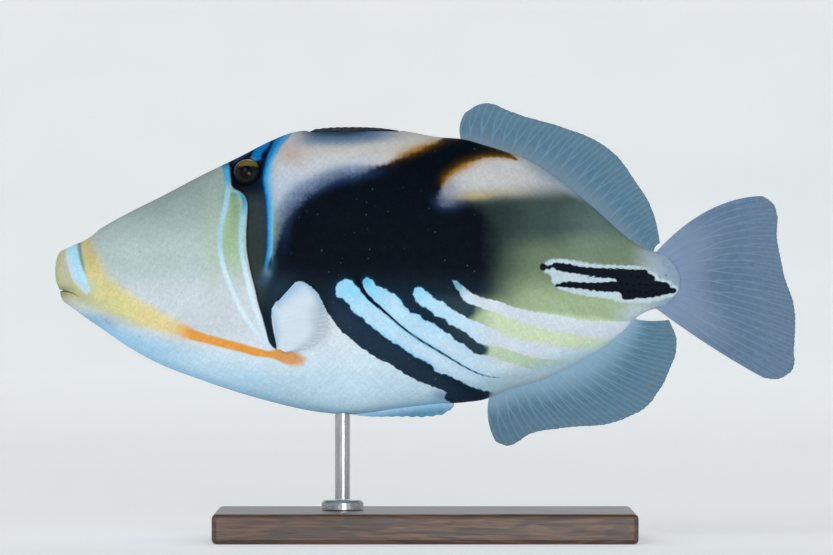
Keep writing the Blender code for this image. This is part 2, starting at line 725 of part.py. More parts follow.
def build_pectoral(name, side, material):
    """A rounded fan that lies back along the flank and stands off it towards its rim."""
    u, from_ray = ray_crests(PECTORAL_RAYS, 2)
    v = np.linspace(0.0, 1.0, 6)[:, None]
    root = even_steps(PECTORAL_ROOT, u)
    rim = even_steps(PECTORAL_RIM, u)
    flat = (1 - v)[..., None] * root[None] + v[..., None] * rim[None]
    bow = np.stack([0.4 * (1 - u), 0.5 - 1.2 * u], axis=-1)
    flat = flat + (4 * v * (1 - v))[..., None] * bow[None]
    ridge = 0.95 - 0.35 * v
    skin = 0.55 - 0.1 * v
    half = 0.5 * np.where(from_ray[None, :] < 0.25, ridge, skin)
    skin_point = flank_point(flat[..., 0], flat[..., 1], side)
    lift = GAP + 0.55 + PECTORAL_LIFT * v ** 1.3
    lift = lift + 0.25 * v * np.sin(20.0 * u[None, :])
    middle = skin_point.copy()
    middle[..., 1] += side * lift
    normal = np.zeros_like(middle)
    normal[..., 1] = 1.0
    return sheet_object(name, middle, normal, half, material)


def build_base(material):
    """A flat board with eased edges."""
    shape = bmesh.new()
    bmesh.ops.create_cube(shape, size=1.0)
    bmesh.ops.scale(shape, verts=shape.verts, vec=(BASE_LENGTH * MM, BASE_WIDTH * MM, BASE_HEIGHT * MM))
    bmesh.ops.bevel(shape, geom=shape.edges[:], offset=BASE_EDGE * MM, segments=3,
                    profile=0.5, affect="EDGES", clamp_overlap=True)
    mesh = bpy.data.meshes.new("stand_base")
    shape.to_mesh(mesh)
    shape.free()
    mesh.shade_smooth()
    mesh.set_sharp_from_angle(angle=math.radians(40.0))
    mesh.materials.append(material)
    base = bpy.data.objects.new("stand_base", mesh)
    base.location = (0.0, 0.0, BASE_HEIGHT / 2 * MM)
    bpy.context.scene.collection.objects.link(base)
    return base


def turned(name, profile, sides, material):
    """A closed turned piece about Z from a profile of (radius, z), both ends on the axis."""
    turn = np.linspace(0.0, 2 * math.pi, sides, endpoint=False)
    points = [(0.0, 0.0, profile[0][1])]
    points += [(r * math.cos(a), r * math.sin(a), z) for r, z in profile[1:-1] for a in turn]
    points.append((0.0, 0.0, profile[-1][1]))
    rows = len(profile) - 2
    faces = [tuple(1 + i for i in face) for face in skin_faces(rows, sides)]
    last = len(points) - 1
    for k in range(sides):
        n = (k + 1) % sides
        faces.append((0, 1 + n, 1 + k))
        faces.append((last, 1 + (rows - 1) * sides + k, 1 + (rows - 1) * sides + n))
    return make_object(name, points, faces, material)


def build_collar(material):
    low = BASE_HEIGHT + GAP
    top = low + COLLAR_HEIGHT
    ease = 0.8
    profile = ((0.0, low), (COLLAR_RADIUS, low), (COLLAR_RADIUS, top - ease),
               (COLLAR_RADIUS - ease, top), (0.0, top))
    collar = turned("stand_collar", profile, 32, material)
    collar.location = (ROD_X * MM, 0.0, 0.0)
    return collar


def build_rod(material):
    """A round rod from the collar up to the belly, its top shaped to the skin above it."""
    sides = 24
    turn = np.linspace(0.0, 2 * math.pi, sides, endpoint=False)
    low = BASE_HEIGHT + COLLAR_HEIGHT + 2 * GAP
    x = ROD_X + ROD_RADIUS * np.cos(turn)
    y = ROD_RADIUS * np.sin(turn)
    _, _, _, belly_z, side_z, half = body_columns(x)
    reach = (np.abs(y) / half) ** (1 / BELLY_ROUNDING)
    top = side_z - (side_z - belly_z) * np.sqrt(1 - reach ** 2) - GAP
    points = [(ROD_X, 0.0, low)]
    points += list(zip(x, y, np.full(sides, low)))
    points += list(zip(x, y, top))
    points.append((ROD_X, 0.0, float(belly_height(ROD_X)) - GAP))
    faces = [tuple(1 + i for i in face) for face in skin_faces(2, sides)]
    last = len(points) - 1
    for k in range(sides):
        n = (k + 1) % sides
        faces.append((0, 1 + n, 1 + k))
        faces.append((last, 1 + sides + k, 1 + sides + n))
    return make_object("stand_rod", points, faces, material)


def main():
    clear_scene()
    pale = make_material("pale_skin", (184, 205, 214), 0.45)
    flank = make_material("flank_skin", (60, 70, 72), 0.45)
    rear = make_material("rear_skin", (150, 168, 140), 0.45)
    fin_clear = make_material("fin_membrane", (120, 150, 172), 0.4)
    fin_white = make_material("pectoral_membrane", (211, 224, 233), 0.4)
    spine = make_material("spine_skin", (30, 36, 44), 0.5)
    flap = make_material("flap_skin", (190, 215, 228), 0.45)
    eye = make_material("eye_gloss", (31, 39, 43), 0.1)
    wood = make_material("dark_wood", (74, 52, 38), 0.45)
    steel = make_material("brushed_metal", (176, 178, 180), 0.3, 1.0)
    collar = make_material("collar_metal", (176, 178, 180), 0.35, 1.0)

    pieces = [
        build_head(pale),
        build_torso(flank),
        build_tail(rear),
        build_eye("eye_left", -1, eye),
        build_eye("eye_right", 1, eye.copy()),
        build_first_dorsal(spine),
        build_second_dorsal(fin_clear),
        build_anal(fin_clear.copy()),
        build_caudal(fin_clear.copy()),
        build_pectoral("pectoral_fin_left", -1, fin_white),
        build_pectoral("pectoral_fin_right", 1, fin_white.copy()),
        build_flap(flap),
        build_base(wood),
        build_collar(collar),
        build_rod(steel),
    ]
    model = bpy.data.objects.new("triggerfish_display", None)
    bpy.context.scene.collection.objects.link(model)
    for piece in pieces:
        piece.parent = model


main()
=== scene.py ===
"""The looks of a picasso triggerfish as a life-size display model on a plain stand.

Sizes are in millimetres and become metres where a mesh is written.
The head points to -X, the back to +Z, and the left flank faces the camera at -Y.
"""
import math

import bpy
import numpy as np
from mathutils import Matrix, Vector


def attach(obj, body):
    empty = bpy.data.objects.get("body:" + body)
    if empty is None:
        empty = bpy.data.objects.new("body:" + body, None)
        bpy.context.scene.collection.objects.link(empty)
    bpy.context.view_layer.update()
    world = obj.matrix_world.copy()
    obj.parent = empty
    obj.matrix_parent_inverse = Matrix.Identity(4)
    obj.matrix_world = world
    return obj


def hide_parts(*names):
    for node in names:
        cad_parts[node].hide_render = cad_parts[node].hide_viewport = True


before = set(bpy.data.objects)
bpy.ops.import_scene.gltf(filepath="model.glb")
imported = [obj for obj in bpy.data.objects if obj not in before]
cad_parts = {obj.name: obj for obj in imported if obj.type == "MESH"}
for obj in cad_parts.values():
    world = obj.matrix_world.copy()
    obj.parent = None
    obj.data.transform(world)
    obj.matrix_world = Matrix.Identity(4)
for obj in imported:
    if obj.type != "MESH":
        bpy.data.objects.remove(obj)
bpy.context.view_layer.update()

MM = 0.001
rng = np.random.default_rng(11)

# Markings are laid out on a grid of thirds of a millimetre: x counts from a line this far
# ahead of the model's middle, and y counts down from a line this far above the shelf.
GRID_STEP = 1 / 3
GRID_X = 425.0
GRID_Y = 540.0
VIEW_WIDTH = 833.0
VIEW_HEIGHT = 555.0
VIEW_DISTANCE = 2000.0

# The rings round the snout: station, x and z at the back, x and z at the belly,
# z of the widest line, and the half width.
SNOUT_RINGS = (
    (-115.8, -121.9, 83.6, -121.6, 83.0, 81.2, 5.2),
    (-115.0, -123.0, 86.5, -121.4, 81.4, 81.5, 6.1),
    (-114.2, -123.2, 91.0, -120.6, 79.7, 82.3, 6.8),
    (-113.3, -121.9, 95.7, -118.9, 78.4, 83.3, 7.4),
    (-112.5, -118.6, 97.6, -117.0, 77.0, 84.0, 7.8),
    (-111.6, -115.0, 99.2, -115.0, 75.5, 84.6, 8.1),
    (-107.0, -108.3, 103.7, -108.3, 70.8, 85.2, 9.5),
)
# The upright sections of the trunk: x, z of the back, z of the belly, z of the widest
# line, and the half width.
TRUNK_SECTIONS = (
    (-98.3, 109.3, 64.0, 85.0, 11.4),
    (-88.3, 114.3, 58.6, 84.5, 13.2),
    (-75.0, 121.3, 53.5, 84.0, 15.1),
    (-61.7, 127.8, 49.0, 83.5, 16.8),
    (-51.7, 132.9, 46.2, 83.5, 17.8),
    (-45.0, 135.6, 44.5, 83.5, 18.2),
    (-37.0, 136.8, 42.9, 83.5, 18.5),
    (-25.0, 136.9, 41.9, 84.0, 18.6),
    (-8.3, 136.5, 43.9, 85.0, 18.1),
    (4.5, 134.3, 45.3, 86.0, 17.2),
    (13.3, 133.5, 45.9, 86.5, 16.2),
    (20.0, 131.6, 46.9, 87.0, 15.2),
    (27.0, 129.4, 49.8, 87.5, 13.9),
    (38.3, 124.7, 53.2, 88.0, 11.7),
    (48.3, 117.3, 57.5, 87.5, 9.5),
    (58.3, 109.0, 63.3, 86.8, 7.3),
    (66.7, 101.4, 70.2, 86.4, 5.5),
    (71.7, 98.0, 75.0, 86.4, 4.6),
    (76.0, 96.3, 76.9, 86.4, 3.9),
    (81.5, 95.8, 77.1, 86.4, 2.7),
    (86.0, 96.0, 76.8, 86.4, 1.3),
)
BODY_TABLE = np.array(list(SNOUT_RINGS) + [(x, x, back, x, belly, side, half)
                                           for x, back, belly, side, half in TRUNK_SECTIONS])
BACK_ROUNDING = 1.15
BELLY_ROUNDING = 1.20
TAIL_END_AT_EDGES = 78.6
TAIL_END_BULGE = 6.2
TAIL_LAST = 80.5

SKIN_ROWS = 318               # rings from the lips to the end of the tail stalk
THROAT_ROWS = 8
HALF_RING = 148               # steps from the back to the belly on one side
MOUTH_DEPTH = 1.2
DEEP_SECTION = -45.0
EYE_ANGLE = 0.55              # where the eye sits round the section
SNOUT_PLAIN = -116.0          # no scales or folds ahead of this
TAIL_CAP = ((0.25, 0.75), (0.42, 0.4), (0.48, 0.0))   # how far out, and the share of thickness kept
SCALE_PITCH = 4.8
SCALE_DOME = 0.03

EYE_X = -59.2
EYE_Z = 122.5
EYE_RADIUS = 4.9
EYE_HALF_DEPTH = 3.7
EYE_SINK = 1.9
EYE_OUTWARD = 0.55
CLEAR_SWELLING = (0.35, 2.6)  # height and width
# Where the soft edges of the eye's marks start and end, in millimetres from its middle
PUPIL_EDGE = (2.0, 2.3)
PUPIL_DROP = 0.5
EYE_EDGE_FROM = (4.35, 4.7)
EYE_EDGE_SHARE = 0.6
CRESCENT_ROUND = (4.45, 4.85)
CRESCENT_LOW = (1.2, 2.2)
CRESCENT_SIDES = (2.8, 4.0)
CRESCENT_ASIDE = 0.4
NOSTRILS = ((-64.9, 124.1), (-63.9, 122.0))

GROOVE_START = -40.6
GROOVE_END = -7.4
GROOVE_DEPTHS = (3.0, 1.5)    # at its start and at its end
GROOVE_HALVES = (2.4, 1.2)
SPINES = (                    # start, end, side offset, radius at the root, arch at mid length
    (-39.3, -8.8, -0.25, 1.30, 0.90),
    (-33.5, -14.5, 1.00, 0.75, 0.70),
    (-28.0, -17.0, -1.20, 0.60, 0.60),
)

FIN_ROOT_SINK = 1.2           # how far the upright fins start inside the skin
DORSAL_RAYS = 24
DORSAL_ROOT = (12.3, 76.2)
DORSAL_RIM = ((13.4, 142.6), (18.0, 145.3), (33.0, 141.3), (45.0, 138.0),
              (62.0, 129.9), (70.0, 120.0), (76.3, 109.0), (78.4, 99.0))
DORSAL_BOW = (1.3, 0.5)
DORSAL_SWAY = (1.3, 9.0, 0.6)
DORSAL_OPAQUE = 0.10          # how far up the skin of the root still covers the fin
ANAL_RAYS = 22
ANAL_ROOT = (21.6, 69.2)
ANAL_RIM = ((23.6, 32.6), (27.0, 31.3), (36.0, 35.7), (48.0, 37.4), (62.0, 39.0),
            (73.0, 43.8), (81.0, 55.0), (84.0, 66.5), (81.3, 73.4))
ANAL_BOW = (1.6, -0.6)
ANAL_SWAY = (1.2, 8.0, 2.4)
ANAL_OPAQUE = 0.14
CAUDAL_RAYS = 13
CAUDAL_RIM = ((112.5, 114.8), (116.2, 112.4), (117.3, 100.0), (119.8, 88.0), (123.2, 78.0),
              (123.2, 64.0), (122.3, 56.4), (118.3, 53.6), (113.0, 54.0))
FLAP_ROOT = (-21.0, 10.0)
KEEL_LENGTH = 6.0
FLAP_RIM = ((-20.5, 41.3), (-8.0, 41.2), (2.0, 41.3), (6.5, 42.2), (9.6, 44.4))
PECTORAL_RAYS = 13
PECTORAL_ROOT = ((-50.7, 77.2), (-48.9, 64.8))
PECTORAL_RIM = ((-42.6, 86.2), (-38.6, 85.4), (-34.7, 81.0), (-32.0, 75.0), (-31.7, 70.4),
                (-34.6, 66.3), (-39.6, 63.8), (-45.0, 62.8))
PECTORAL_LIFT = 2.0
# Thickness at the root and at the rim, between the rays and over them
FIN_SKIN = (0.42, 0.26)
FIN_RIDGE = (0.66, 0.30)
# Where the rays fork: from, to, and how far apart as a share of one ray's width
ONE_FORK = ((0.25, 0.7, 0.245),)
CAUDAL_FORKS = ((0.28, 0.55, 0.25), (0.6, 0.9, 0.11))
PECTORAL_FORK = ((0.35, 0.7, 0.22),)

# Rows of hooked spines: first x, last x, z and how many
TAIL_SPINE_ROWS = ((44.5, 74.5, 90.4, 15), (46.5, 82.0, 85.2, 18), (52.0, 80.5, 87.9, 13),
                   (66.0, 79.5, 82.6, 8))
SPINE_SIDES = 7
SPINE_ROWS = 5
SPINE_ROOT_SINK = 0.35

# Tones in sRGB, 0 to 255
CHEEK = (178, 196, 194)
CHEEK_HIGH = (150, 169, 166)
CHEEK_LOW = (202, 212, 218)
CHIN = (166, 209, 234)
BREAST = (219, 230, 238)
BELLY = (202, 234, 252)
BELLY_REAR = (154, 190, 206)
# Painted shade: a darker blue along the underside edge of the chin and belly, where it turns away from
# the light
BELLY_EDGE_SHADE = (160, 212, 244)
LIP = (194, 192, 149)
# Painted reflection: a greenish sheen on the front rim of the lips, mixed towards their olive-yellow
LIP_RIM_REFLECTION = (176, 191, 150)
LIP_PINK = (192, 196, 194)
LIP_BLUE = (172, 224, 246)
MOUTH_SHADE = (140, 146, 112)
MOUTH_YELLOW = (215, 208, 146)
MOUTH_LOW = (196, 200, 152)
GOLD = (205, 183, 122)
CORN = (223, 207, 150)
ORANGE = (230, 158, 72)
ORANGE_END = (220, 160, 104)
OLIVE_BAND = (165, 192, 158)
OLIVE_CORE = (126, 155, 126)
YELLOW_GREEN = (180, 194, 166)
NAPE_WHITE = (200, 203, 208)
NAPE_BLUE = (184, 196, 213)
NAPE_PINK = (186, 175, 171)
BACK_WHITE = (193, 191, 187)
# Darker blue-grey skin along the top of the back by the groove, deepened with painted shade where the
# back rounds over
BACK_PIGMENT_AND_SHADE = (96, 122, 152)
HAZE = (38, 64, 104)
OVAL = (197, 198, 198)
OVAL_REAR = (168, 171, 177)
FIN_FOOT = (152, 166, 177)
OLIVE_DARK = (38, 52, 52)
OLIVE_HIGH = (62, 80, 77)
OLIVE_SIDE = (96, 116, 112)
OLIVE = (106, 124, 99)
OLIVE_LOW = (158, 178, 142)
GREEN_BAND = (204, 221, 188)
GREEN_BAND_LOW = (185, 208, 178)
STALK = (184, 198, 206)
STALK_END = (138, 160, 178)
BURNT = (166, 118, 44)
BROWN = (34, 25, 12)
EYE_BAND = (46, 56, 54)
DEEP_BLUE = (6, 120, 192)
LINE_BLUE = (70, 160, 210)
LINE_SKY = (116, 182, 218)
# The deepest part of that band on the back: darker skin and painted shade next to the groove
BACK_PIGMENT_AND_SHADE_DEEP = (32, 58, 82)
LINE_TEAL = (20, 118, 156)
LINE_HOOK = (50, 148, 194)
FRINGE_DEEP = (84, 60, 16)
FRINGE_GOLD = (178, 134, 70)
HALO = (8, 62, 102)
# Painted shade: a darker blue along the lower edge of the chin
CHIN_EDGE_SHADE = (138, 174, 198)
# Painted shade in the slit at the front of the mouth
MOUTH_SLIT_SHADE = (112, 138, 112)
NAPE_HAZE = (128, 154, 184)
OVAL_HAZE = (146, 152, 166)
CYAN = (84, 190, 228)
# Painted shade along the crease above the upper lip
LIP_CREASE_SHADE = (122, 154, 146)
LIP_PALE = (206, 216, 226)
LINE_PALE = (160, 205, 222)
LINE_WHITE = (212, 232, 245)
STRIPE_HEAD = (146, 212, 244)
STRIPE_PALE = (185, 222, 244)
STRIPE_REAR = (209, 218, 227)
BLACK = (1, 9, 20)
BAR_BLACK = (14, 21, 32)
BAR_WHITE = (190, 208, 216)
WEDGE = (128, 156, 140)
WEDGE_DEEP = (46, 80, 98)
SMEAR = (88, 127, 152)
SMEAR_DEEP = (53, 82, 106)
LINE_END = (38, 122, 166)
BROW_DEEP = (12, 70, 110)
DARK_LOW = (20, 40, 56)
DARK_FRONT = (34, 52, 66)
DARK_BAND = (33, 51, 69)
DARK_REAR = (42, 61, 70)
OVAL_SHADE = (104, 116, 136)
OLIVE_STALK = (114, 134, 112)
MASK_GREEN = (188, 202, 166)
STRIPE_SHADE = (205, 227, 241)
STRIPE_TIP = (100, 166, 184)
# Painted shade on the upright flap under the belly, darker so that it carries on the shading of the belly
# beside it
FLAP_SHADE = (82, 135, 168)
# Painted shade on the belly towards the vent
VENT_SHADE = (92, 138, 170)
FIN_FOOT_REAR = (82, 116, 132)
POCKET_TOP = (92, 130, 128)
LINE_EYE = (82, 168, 208)
FIN_WHITE = (206, 219, 229)
FIN_BLUE = (146, 184, 216)
DORSAL_FOOT = (112, 138, 158)
ANAL_FOOT = (142, 180, 204)
TAIL_FOOT = (124, 147, 175)
PALE_FLECK = (120, 146, 156)
PALE_CLOUD = (60, 84, 96)
DARK_FLECK = (70, 78, 70)
THROAT = (120, 104, 82)
PUPIL = (3, 4, 6)
EYE_EDGE = (14, 40, 66)
WOOD_FIBRE = (44, 28, 19)
WOOD_PORE = (26, 16, 11)
PAPER_GLOW = (226, 229, 231)
# The two tones between which a finish varies. A fin has those of its skin and its rays
IRIS = (7, 13, 17), (26, 30, 33)
EYE_GOLD = (62, 56, 23), (132, 113, 48)
SPINE_SKIN = (14, 20, 28), (46, 56, 72)
CLEAR_FIN = (52, 104, 130), (116, 156, 180)
TAIL_FIN = (62, 101, 132), (132, 159, 190)
PECTORAL_FIN = (202, 214, 224), (210, 221, 231)
WOOD = (62, 40, 27), (96, 64, 42)
STEEL = (150, 152, 154), (192, 194, 196)
PAPER = (222, 225, 226), (228, 230, 231)


def linear(tone):
    """A tone as linear light."""
    tone = np.asarray(tone, float) / 255.0
    return np.where(tone <= 0.04045, tone / 12.92, ((tone + 0.055) / 1.055) ** 2.4)


def smooth_curve(knots, values, at):
    """Read a smooth curve through the values at the knots.

    Each span is a cubic. Its end slopes are those of the parabola through three knots.
    """
    knots = np.asarray(knots, float)
    values = np.asarray(values, float).reshape(len(knots), -1)
    at = np.clip(np.asarray(at, float), knots[0], knots[-1])
    width = np.diff(knots)[:, None]
    slope = np.diff(values, axis=0) / width
    bend = np.empty_like(values)
    bend[1:-1] = (width[1:] * slope[:-1] + width[:-1] * slope[1:]) / (width[1:] + width[:-1])
    bend[0] = slope[0]
    bend[-1] = slope[-1]
    i = np.clip(np.searchsorted(knots, at, side="right") - 1, 0, len(knots) - 2)
    h = width[i]
    t = (at[..., None] - knots[i][..., None]) / h
    return ((1 + 2 * t) * (1 - t) ** 2 * values[i] + t * (1 - t) ** 2 * h * bend[i]
            + t * t * (3 - 2 * t) * values[i + 1] + t * t * (t - 1) * h * bend[i + 1])


def rise(value, low, high):
    """From 0 at low to 1 at high, with soft ends."""
    t = np.clip((value - low) / (high - low), 0.0, 1.0)
    return t * t * (3 - 2 * t)


def fall(value, low, high):
    """From 1 at low to 0 at high, with soft ends."""
    return rise(-value, -high, -low)


def bell(value, width):
    """1 at 0, falling off to either side as a bell curve."""
    return np.exp(-(value / width) ** 2)


def between(pair, t):
    """From the first of a pair of values at 0 to the second at 1."""
    return pair[0] + (pair[1] - pair[0]) * t


def even_steps(points, fractions):
    """Points at the given fractions of the length of a smooth curve through the points."""
    points = np.asarray(points, float)
    knots = np.concatenate([[0.0], np.cumsum(np.linalg.norm(np.diff(points, axis=0), axis=1))])
    fine = smooth_curve(knots, points, np.linspace(0.0, knots[-1], 600))
    reach = np.concatenate([[0.0], np.cumsum(np.linalg.norm(np.diff(fine, axis=0), axis=1))])
    want = np.asarray(fractions) * reach[-1]
    return np.stack([np.interp(want, reach, fine[:, k]) for k in range(points.shape[1])], axis=-1)


def body_columns(station):
    columns = smooth_curve(BODY_TABLE[:, 0], BODY_TABLE[:, 1:], station)
    return [columns[..., k] for k in range(6)]


def body_point(station, angle, side=-1):
    """A point of the skin: the angle runs from 0 at the back to pi at the belly.

    Height follows the cosine of the angle from the widest line to the back or the belly,
    and half width a power of its sine. Round the snout x leans from the flank to the
    midline with the squared cosine. Side is -1 for the left flank and 1 for the right.
    """
    station, angle = np.broadcast_arrays(np.asarray(station, float), np.asarray(angle, float))
    back_x, back_z, belly_x, belly_z, side_z, half = body_columns(station)
    upper = angle <= math.pi / 2
    reach = np.abs(np.cos(angle))
    x = station + (np.where(upper, back_x, belly_x) - station) * reach ** 2
    z = side_z + (np.where(upper, back_z, belly_z) - side_z) * reach
    power = np.where(upper, BACK_ROUNDING, BELLY_ROUNDING)
    y = side * half * np.clip(np.sin(angle), 0.0, 1.0) ** power
    return np.stack([x, y, z], axis=-1)


def back_height(x):
    return body_columns(np.asarray(x, float))[1]


def belly_height(x):
    return body_columns(np.asarray(x, float))[3]


def flank_point(x, z, side=-1):
    """The skin at height z of the upright section at x."""
    _, back_z, _, belly_z, side_z, _ = body_columns(np.asarray(x, float))
    upper = z >= side_z
    reach = np.where(upper, (z - side_z) / (back_z - side_z), (side_z - z) / (side_z - belly_z))
    reach = np.arccos(np.clip(reach, 0.0, 1.0))
    return body_point(x, np.where(upper, reach, math.pi - reach), side)


def flank_normal(x, z, side=-1):
    step = 0.4
    along = flank_point(x + step, z, side) - flank_point(x - step, z, side)
    down = flank_point(x, z - step, side) - flank_point(x, z + step, side)
    normal = np.cross(along, down) * side
    return normal / np.linalg.norm(normal, axis=-1, keepdims=True)


def tail_end(angle):
    return TAIL_END_AT_EDGES + TAIL_END_BULGE * np.sin(angle) ** 2


# Markings

def flank(points):
    """Points of the marking grid as x and z in millimetres."""
    points = np.asarray(points, float)
    return np.stack([(points[:, 0] - GRID_X) * GRID_STEP, (GRID_Y - points[:, 1]) * GRID_STEP], axis=-1)


def drawn(points, density=4):
    """A smooth line through points of the marking grid, in millimetres."""
    points = flank(points)
    return even_steps(points, np.linspace(0.0, 1.0, density * len(points)))


def nearest(x, z, path):
    """Distance to an open path, and how far along the path its nearest point lies (0 to 1)."""
    best = np.full(x.shape, np.inf)
    where = np.zeros(x.shape)
    steps = len(path) - 1
    for k in range(steps):
        ax, az = path[k]
        dx, dz = path[k + 1] - path[k]
        t = np.clip(((x - ax) * dx + (z - az) * dz) / (dx * dx + dz * dz + 1e-12), 0.0, 1.0)
        d = np.hypot(x - ax - t * dx, z - az - t * dz)
        closer = d < best
        best = np.where(closer, d, best)
        where = np.where(closer, (k + t) / steps, where)
    return best, where


def ribbon(x, z, points, widths):
    """How far each place is inside a line whose half width changes along it, in millimetres.

    Widths are half widths on the marking grid, spread evenly along the line.
    """
    d, along = nearest(x, z, drawn(points))
    half = np.interp(along, np.linspace(0.0, 1.0, len(widths)), widths) * GRID_STEP
    return half - d


def area(x, z, *borders):
    """How far each place is inside a closed outline, in millimetres; outside is negative.

    The outline is made of smooth borders joined end to end.
    """
    outline = np.concatenate([drawn(border) for border in borders])
    closed = np.concatenate([outline, outline[:1]])
    d, _ = nearest(x, z, closed)
    inside = np.zeros(x.shape, bool)
    for (ax, az), (bx, bz) in zip(closed[:-1], closed[1:]):
        if az == bz:
            continue
        crosses = ((az > z) != (bz > z)) & (x < (bx - ax) * (z - az) / (bz - az) + ax)
        inside ^= crosses
    return np.where(inside, d, -d)


def seen_on_grid(points):
    """Where the marking grid, an upright plane through the middle, shows each place of the skin.

    Each place is carried along its line of sight from the camera's distance to the plane.
    The right flank is treated as the left one in a mirror.
    """
    grow = VIEW_DISTANCE / (VIEW_DISTANCE - np.abs(points[..., 1]))
    centre_x = (VIEW_WIDTH / 2 - GRID_X) * GRID_STEP
    centre_z = (GRID_Y - VIEW_HEIGHT / 2) * GRID_STEP
    return centre_x + (points[..., 0] - centre_x) * grow, centre_z + (points[..., 2] - centre_z) * grow


# The two pale lines in front of the eye band and the blue one behind it
LINE_1 = (
    (225, 156), (225.5, 165), (227, 174), (228, 185), (226.8, 200), (222, 220), (220.2, 235),
    (220.3, 250), (223, 265), (227, 278), (232, 290), (237.5, 303), (244, 315), (252, 327),
    (261, 338), (270, 348))
LINE_1_WIDTHS = (4.2, 2.7, 2.5, 2.4, 2.3, 2.2, 2.1, 1.7)
LINE_2 = (
    (232.5, 190.8), (236, 191.6), (240, 194), (243.6, 199), (244.6, 205), (243.2, 215), (241.7, 230),
    (241.2, 242), (241.9, 255), (244.2, 266), (247.5, 280), (251, 296), (256, 312), (261.5, 328),
    (266, 341))
LINE_2_WIDTHS = (0.8, 2.5, 2.4, 2.0, 2.3, 2.3, 2.1, 1.7)
LINE_3 = (
    (289, 128), (283.5, 136), (279, 142), (274.8, 150), (270, 160), (267.8, 170), (266.3, 180),
    (267.8, 190), (269.2, 200), (269.9, 215), (270, 228), (270, 240), (269.8, 248), (268.7, 256),
    (266.6, 264), (265.8, 270))
LINE_3_WIDTHS = (6.0, 4.7, 3.8, 3.3, 3.1, 2.9, 2.6, 2.6, 2.6, 1.4)
BROW_TRIANGLE = (
    (250, 158), (253, 152), (259, 146.5), (268, 139), (270, 142), (265, 149), (261, 154),
    (259.5, 160), (255, 161))
BROW_GLEAM = ((235, 162), (240, 158), (249, 152.5))
BROW_GLEAM_WIDTHS = (0.8, 1.4, 0.8)
EYE_BAND_EDGE = (
    (227, 140), (227.5, 165), (229, 176), (230.5, 184), (233.5, 188.5), (238, 191), (243, 194.5),
    (246.5, 201), (247.3, 208), (246.8, 220), (246, 235), (246.2, 247), (248, 260), (251, 275),
    (254.6, 289), (257.8, 303), (262, 317), (265.8, 331), (270, 344), (277, 351))
EYE_BAND_BACK = (
    (276, 340), (273, 325), (272, 311), (275, 302), (283, 293), (283, 275), (273, 262), (270.5, 245),
    (271, 230), (270, 215), (269, 200), (267, 190), (265.5, 180), (266, 170), (268, 160), (271, 150),
    (278, 141), (285, 128))

# The black patch and the black stripes below it, which the pale stripes part
PATCH_FRONT = (
    (276, 345), (273, 335), (271.5, 318), (272.5, 307), (277, 301.5), (286, 299), (291.6, 293),
    (293.6, 286), (298, 281.5), (303.5, 282), (309.4, 286.4), (316, 291.4), (320.8, 299),
    (325, 308.6), (330, 316), (335, 323), (340, 330), (350, 338), (360, 347), (370, 353.5),
    (378, 359), (388, 363), (400, 371), (410, 377), (420, 382), (430, 386), (440, 389), (447, 393))
PATCH_VENT = (
    (443.5, 398.5), (450, 402), (464, 404), (480, 403.5), (488, 399), (492, 392), (486, 386),
    (468, 383), (460, 374), (468, 362), (484, 355.5), (489, 350), (484, 344), (478, 332), (470, 320),
    (476, 313), (480, 306), (482, 296))
PATCH_REAR = (
    (486, 285), (492, 262), (493, 240), (490, 222), (480, 208), (460, 203), (443, 203), (441, 199),
    (440, 190), (441, 181), (447, 173), (457, 165.5), (470, 159), (485, 154.5), (500, 155.5),
    (518, 160))
PATCH_TOP = (
    (508, 153), (500, 149), (490, 145), (480, 140), (470, 132), (450, 126), (442, 139), (428, 145),
    (413, 151), (399, 157), (388.5, 162.6), (371, 166.5), (359, 169), (347, 171), (335, 173),
    (323, 178), (311, 184), (299, 191), (289, 201), (282, 212), (278, 225), (276.5, 237), (276, 244),
    (275, 252), (273, 260), (266, 285), (266, 310), (270, 335))
BLACK_LINE = (
    (356, 276), (360, 285), (364, 292), (369, 298.5), (375, 304), (382, 309.5), (390, 316.5),
    (400, 325.5), (410, 333), (420, 340), (430, 346), (440, 352), (450, 358), (460, 364),
    (470, 369.5), (480, 374), (490, 376.7), (500, 377.5))
BLACK_LINE_WIDTHS = (2.2, 1.5, 1.25, 1.1, 1.05, 1.0, 0.8, 0.4)

STRIPE_A_TOP = (
    (337, 297), (335.5, 290), (337, 284), (341, 281), (345, 278.7), (350, 280.3), (355, 284.5),
    (360, 290), (363.5, 295), (368.5, 300), (375, 305.5), (390, 317.5), (410, 333), (430, 346),
    (450, 358), (470, 370), (490, 377), (520, 377))
STRIPE_A_LOW = (
    (505, 391), (490, 391), (480, 389.5), (472, 387), (465, 383.5), (457, 379.5), (446, 374.5),
    (438, 373), (430, 364), (420, 359), (412, 355), (400, 346), (391, 341), (381, 334), (371, 326),
    (366, 322), (361, 316), (355, 314), (351, 309), (348, 303), (343, 299))
STRIPE_B_TOP = (
    (364.5, 289), (362.5, 284), (363.5, 279.5), (367.5, 277), (371.5, 279.5), (374.5, 284),
    (381, 287.5), (390, 292), (398, 297), (402, 303), (407, 309), (412, 313), (418, 314), (424, 320),
    (430, 322), (437, 326), (443, 331), (450, 334), (455, 340), (460, 343), (465, 345), (470, 350),
    (478, 354), (485, 355), (500, 360), (520, 366), (540, 371))
STRIPE_B_LOW = (
    (520, 378), (490, 377), (470, 370), (450, 358), (430, 346), (410, 333), (390, 317), (381, 306.5),
    (375, 301), (370, 296), (366.5, 292))
STRIPE_C_TOP = (
    (413, 294), (415, 289), (419, 287), (424, 290), (430, 294), (435, 299), (445, 303), (450, 308),
    (455, 311), (462, 315), (468, 318), (475, 321), (490, 327), (510, 336), (540, 343), (570, 347),
    (600, 350))
STRIPE_C_LOW = (
    (595, 362), (560, 361), (520, 354), (500, 347), (487, 345), (477, 342), (470, 336), (463, 331),
    (457, 327), (450, 325), (445, 319), (437, 316), (432, 313), (428, 308), (421, 306), (416, 300))
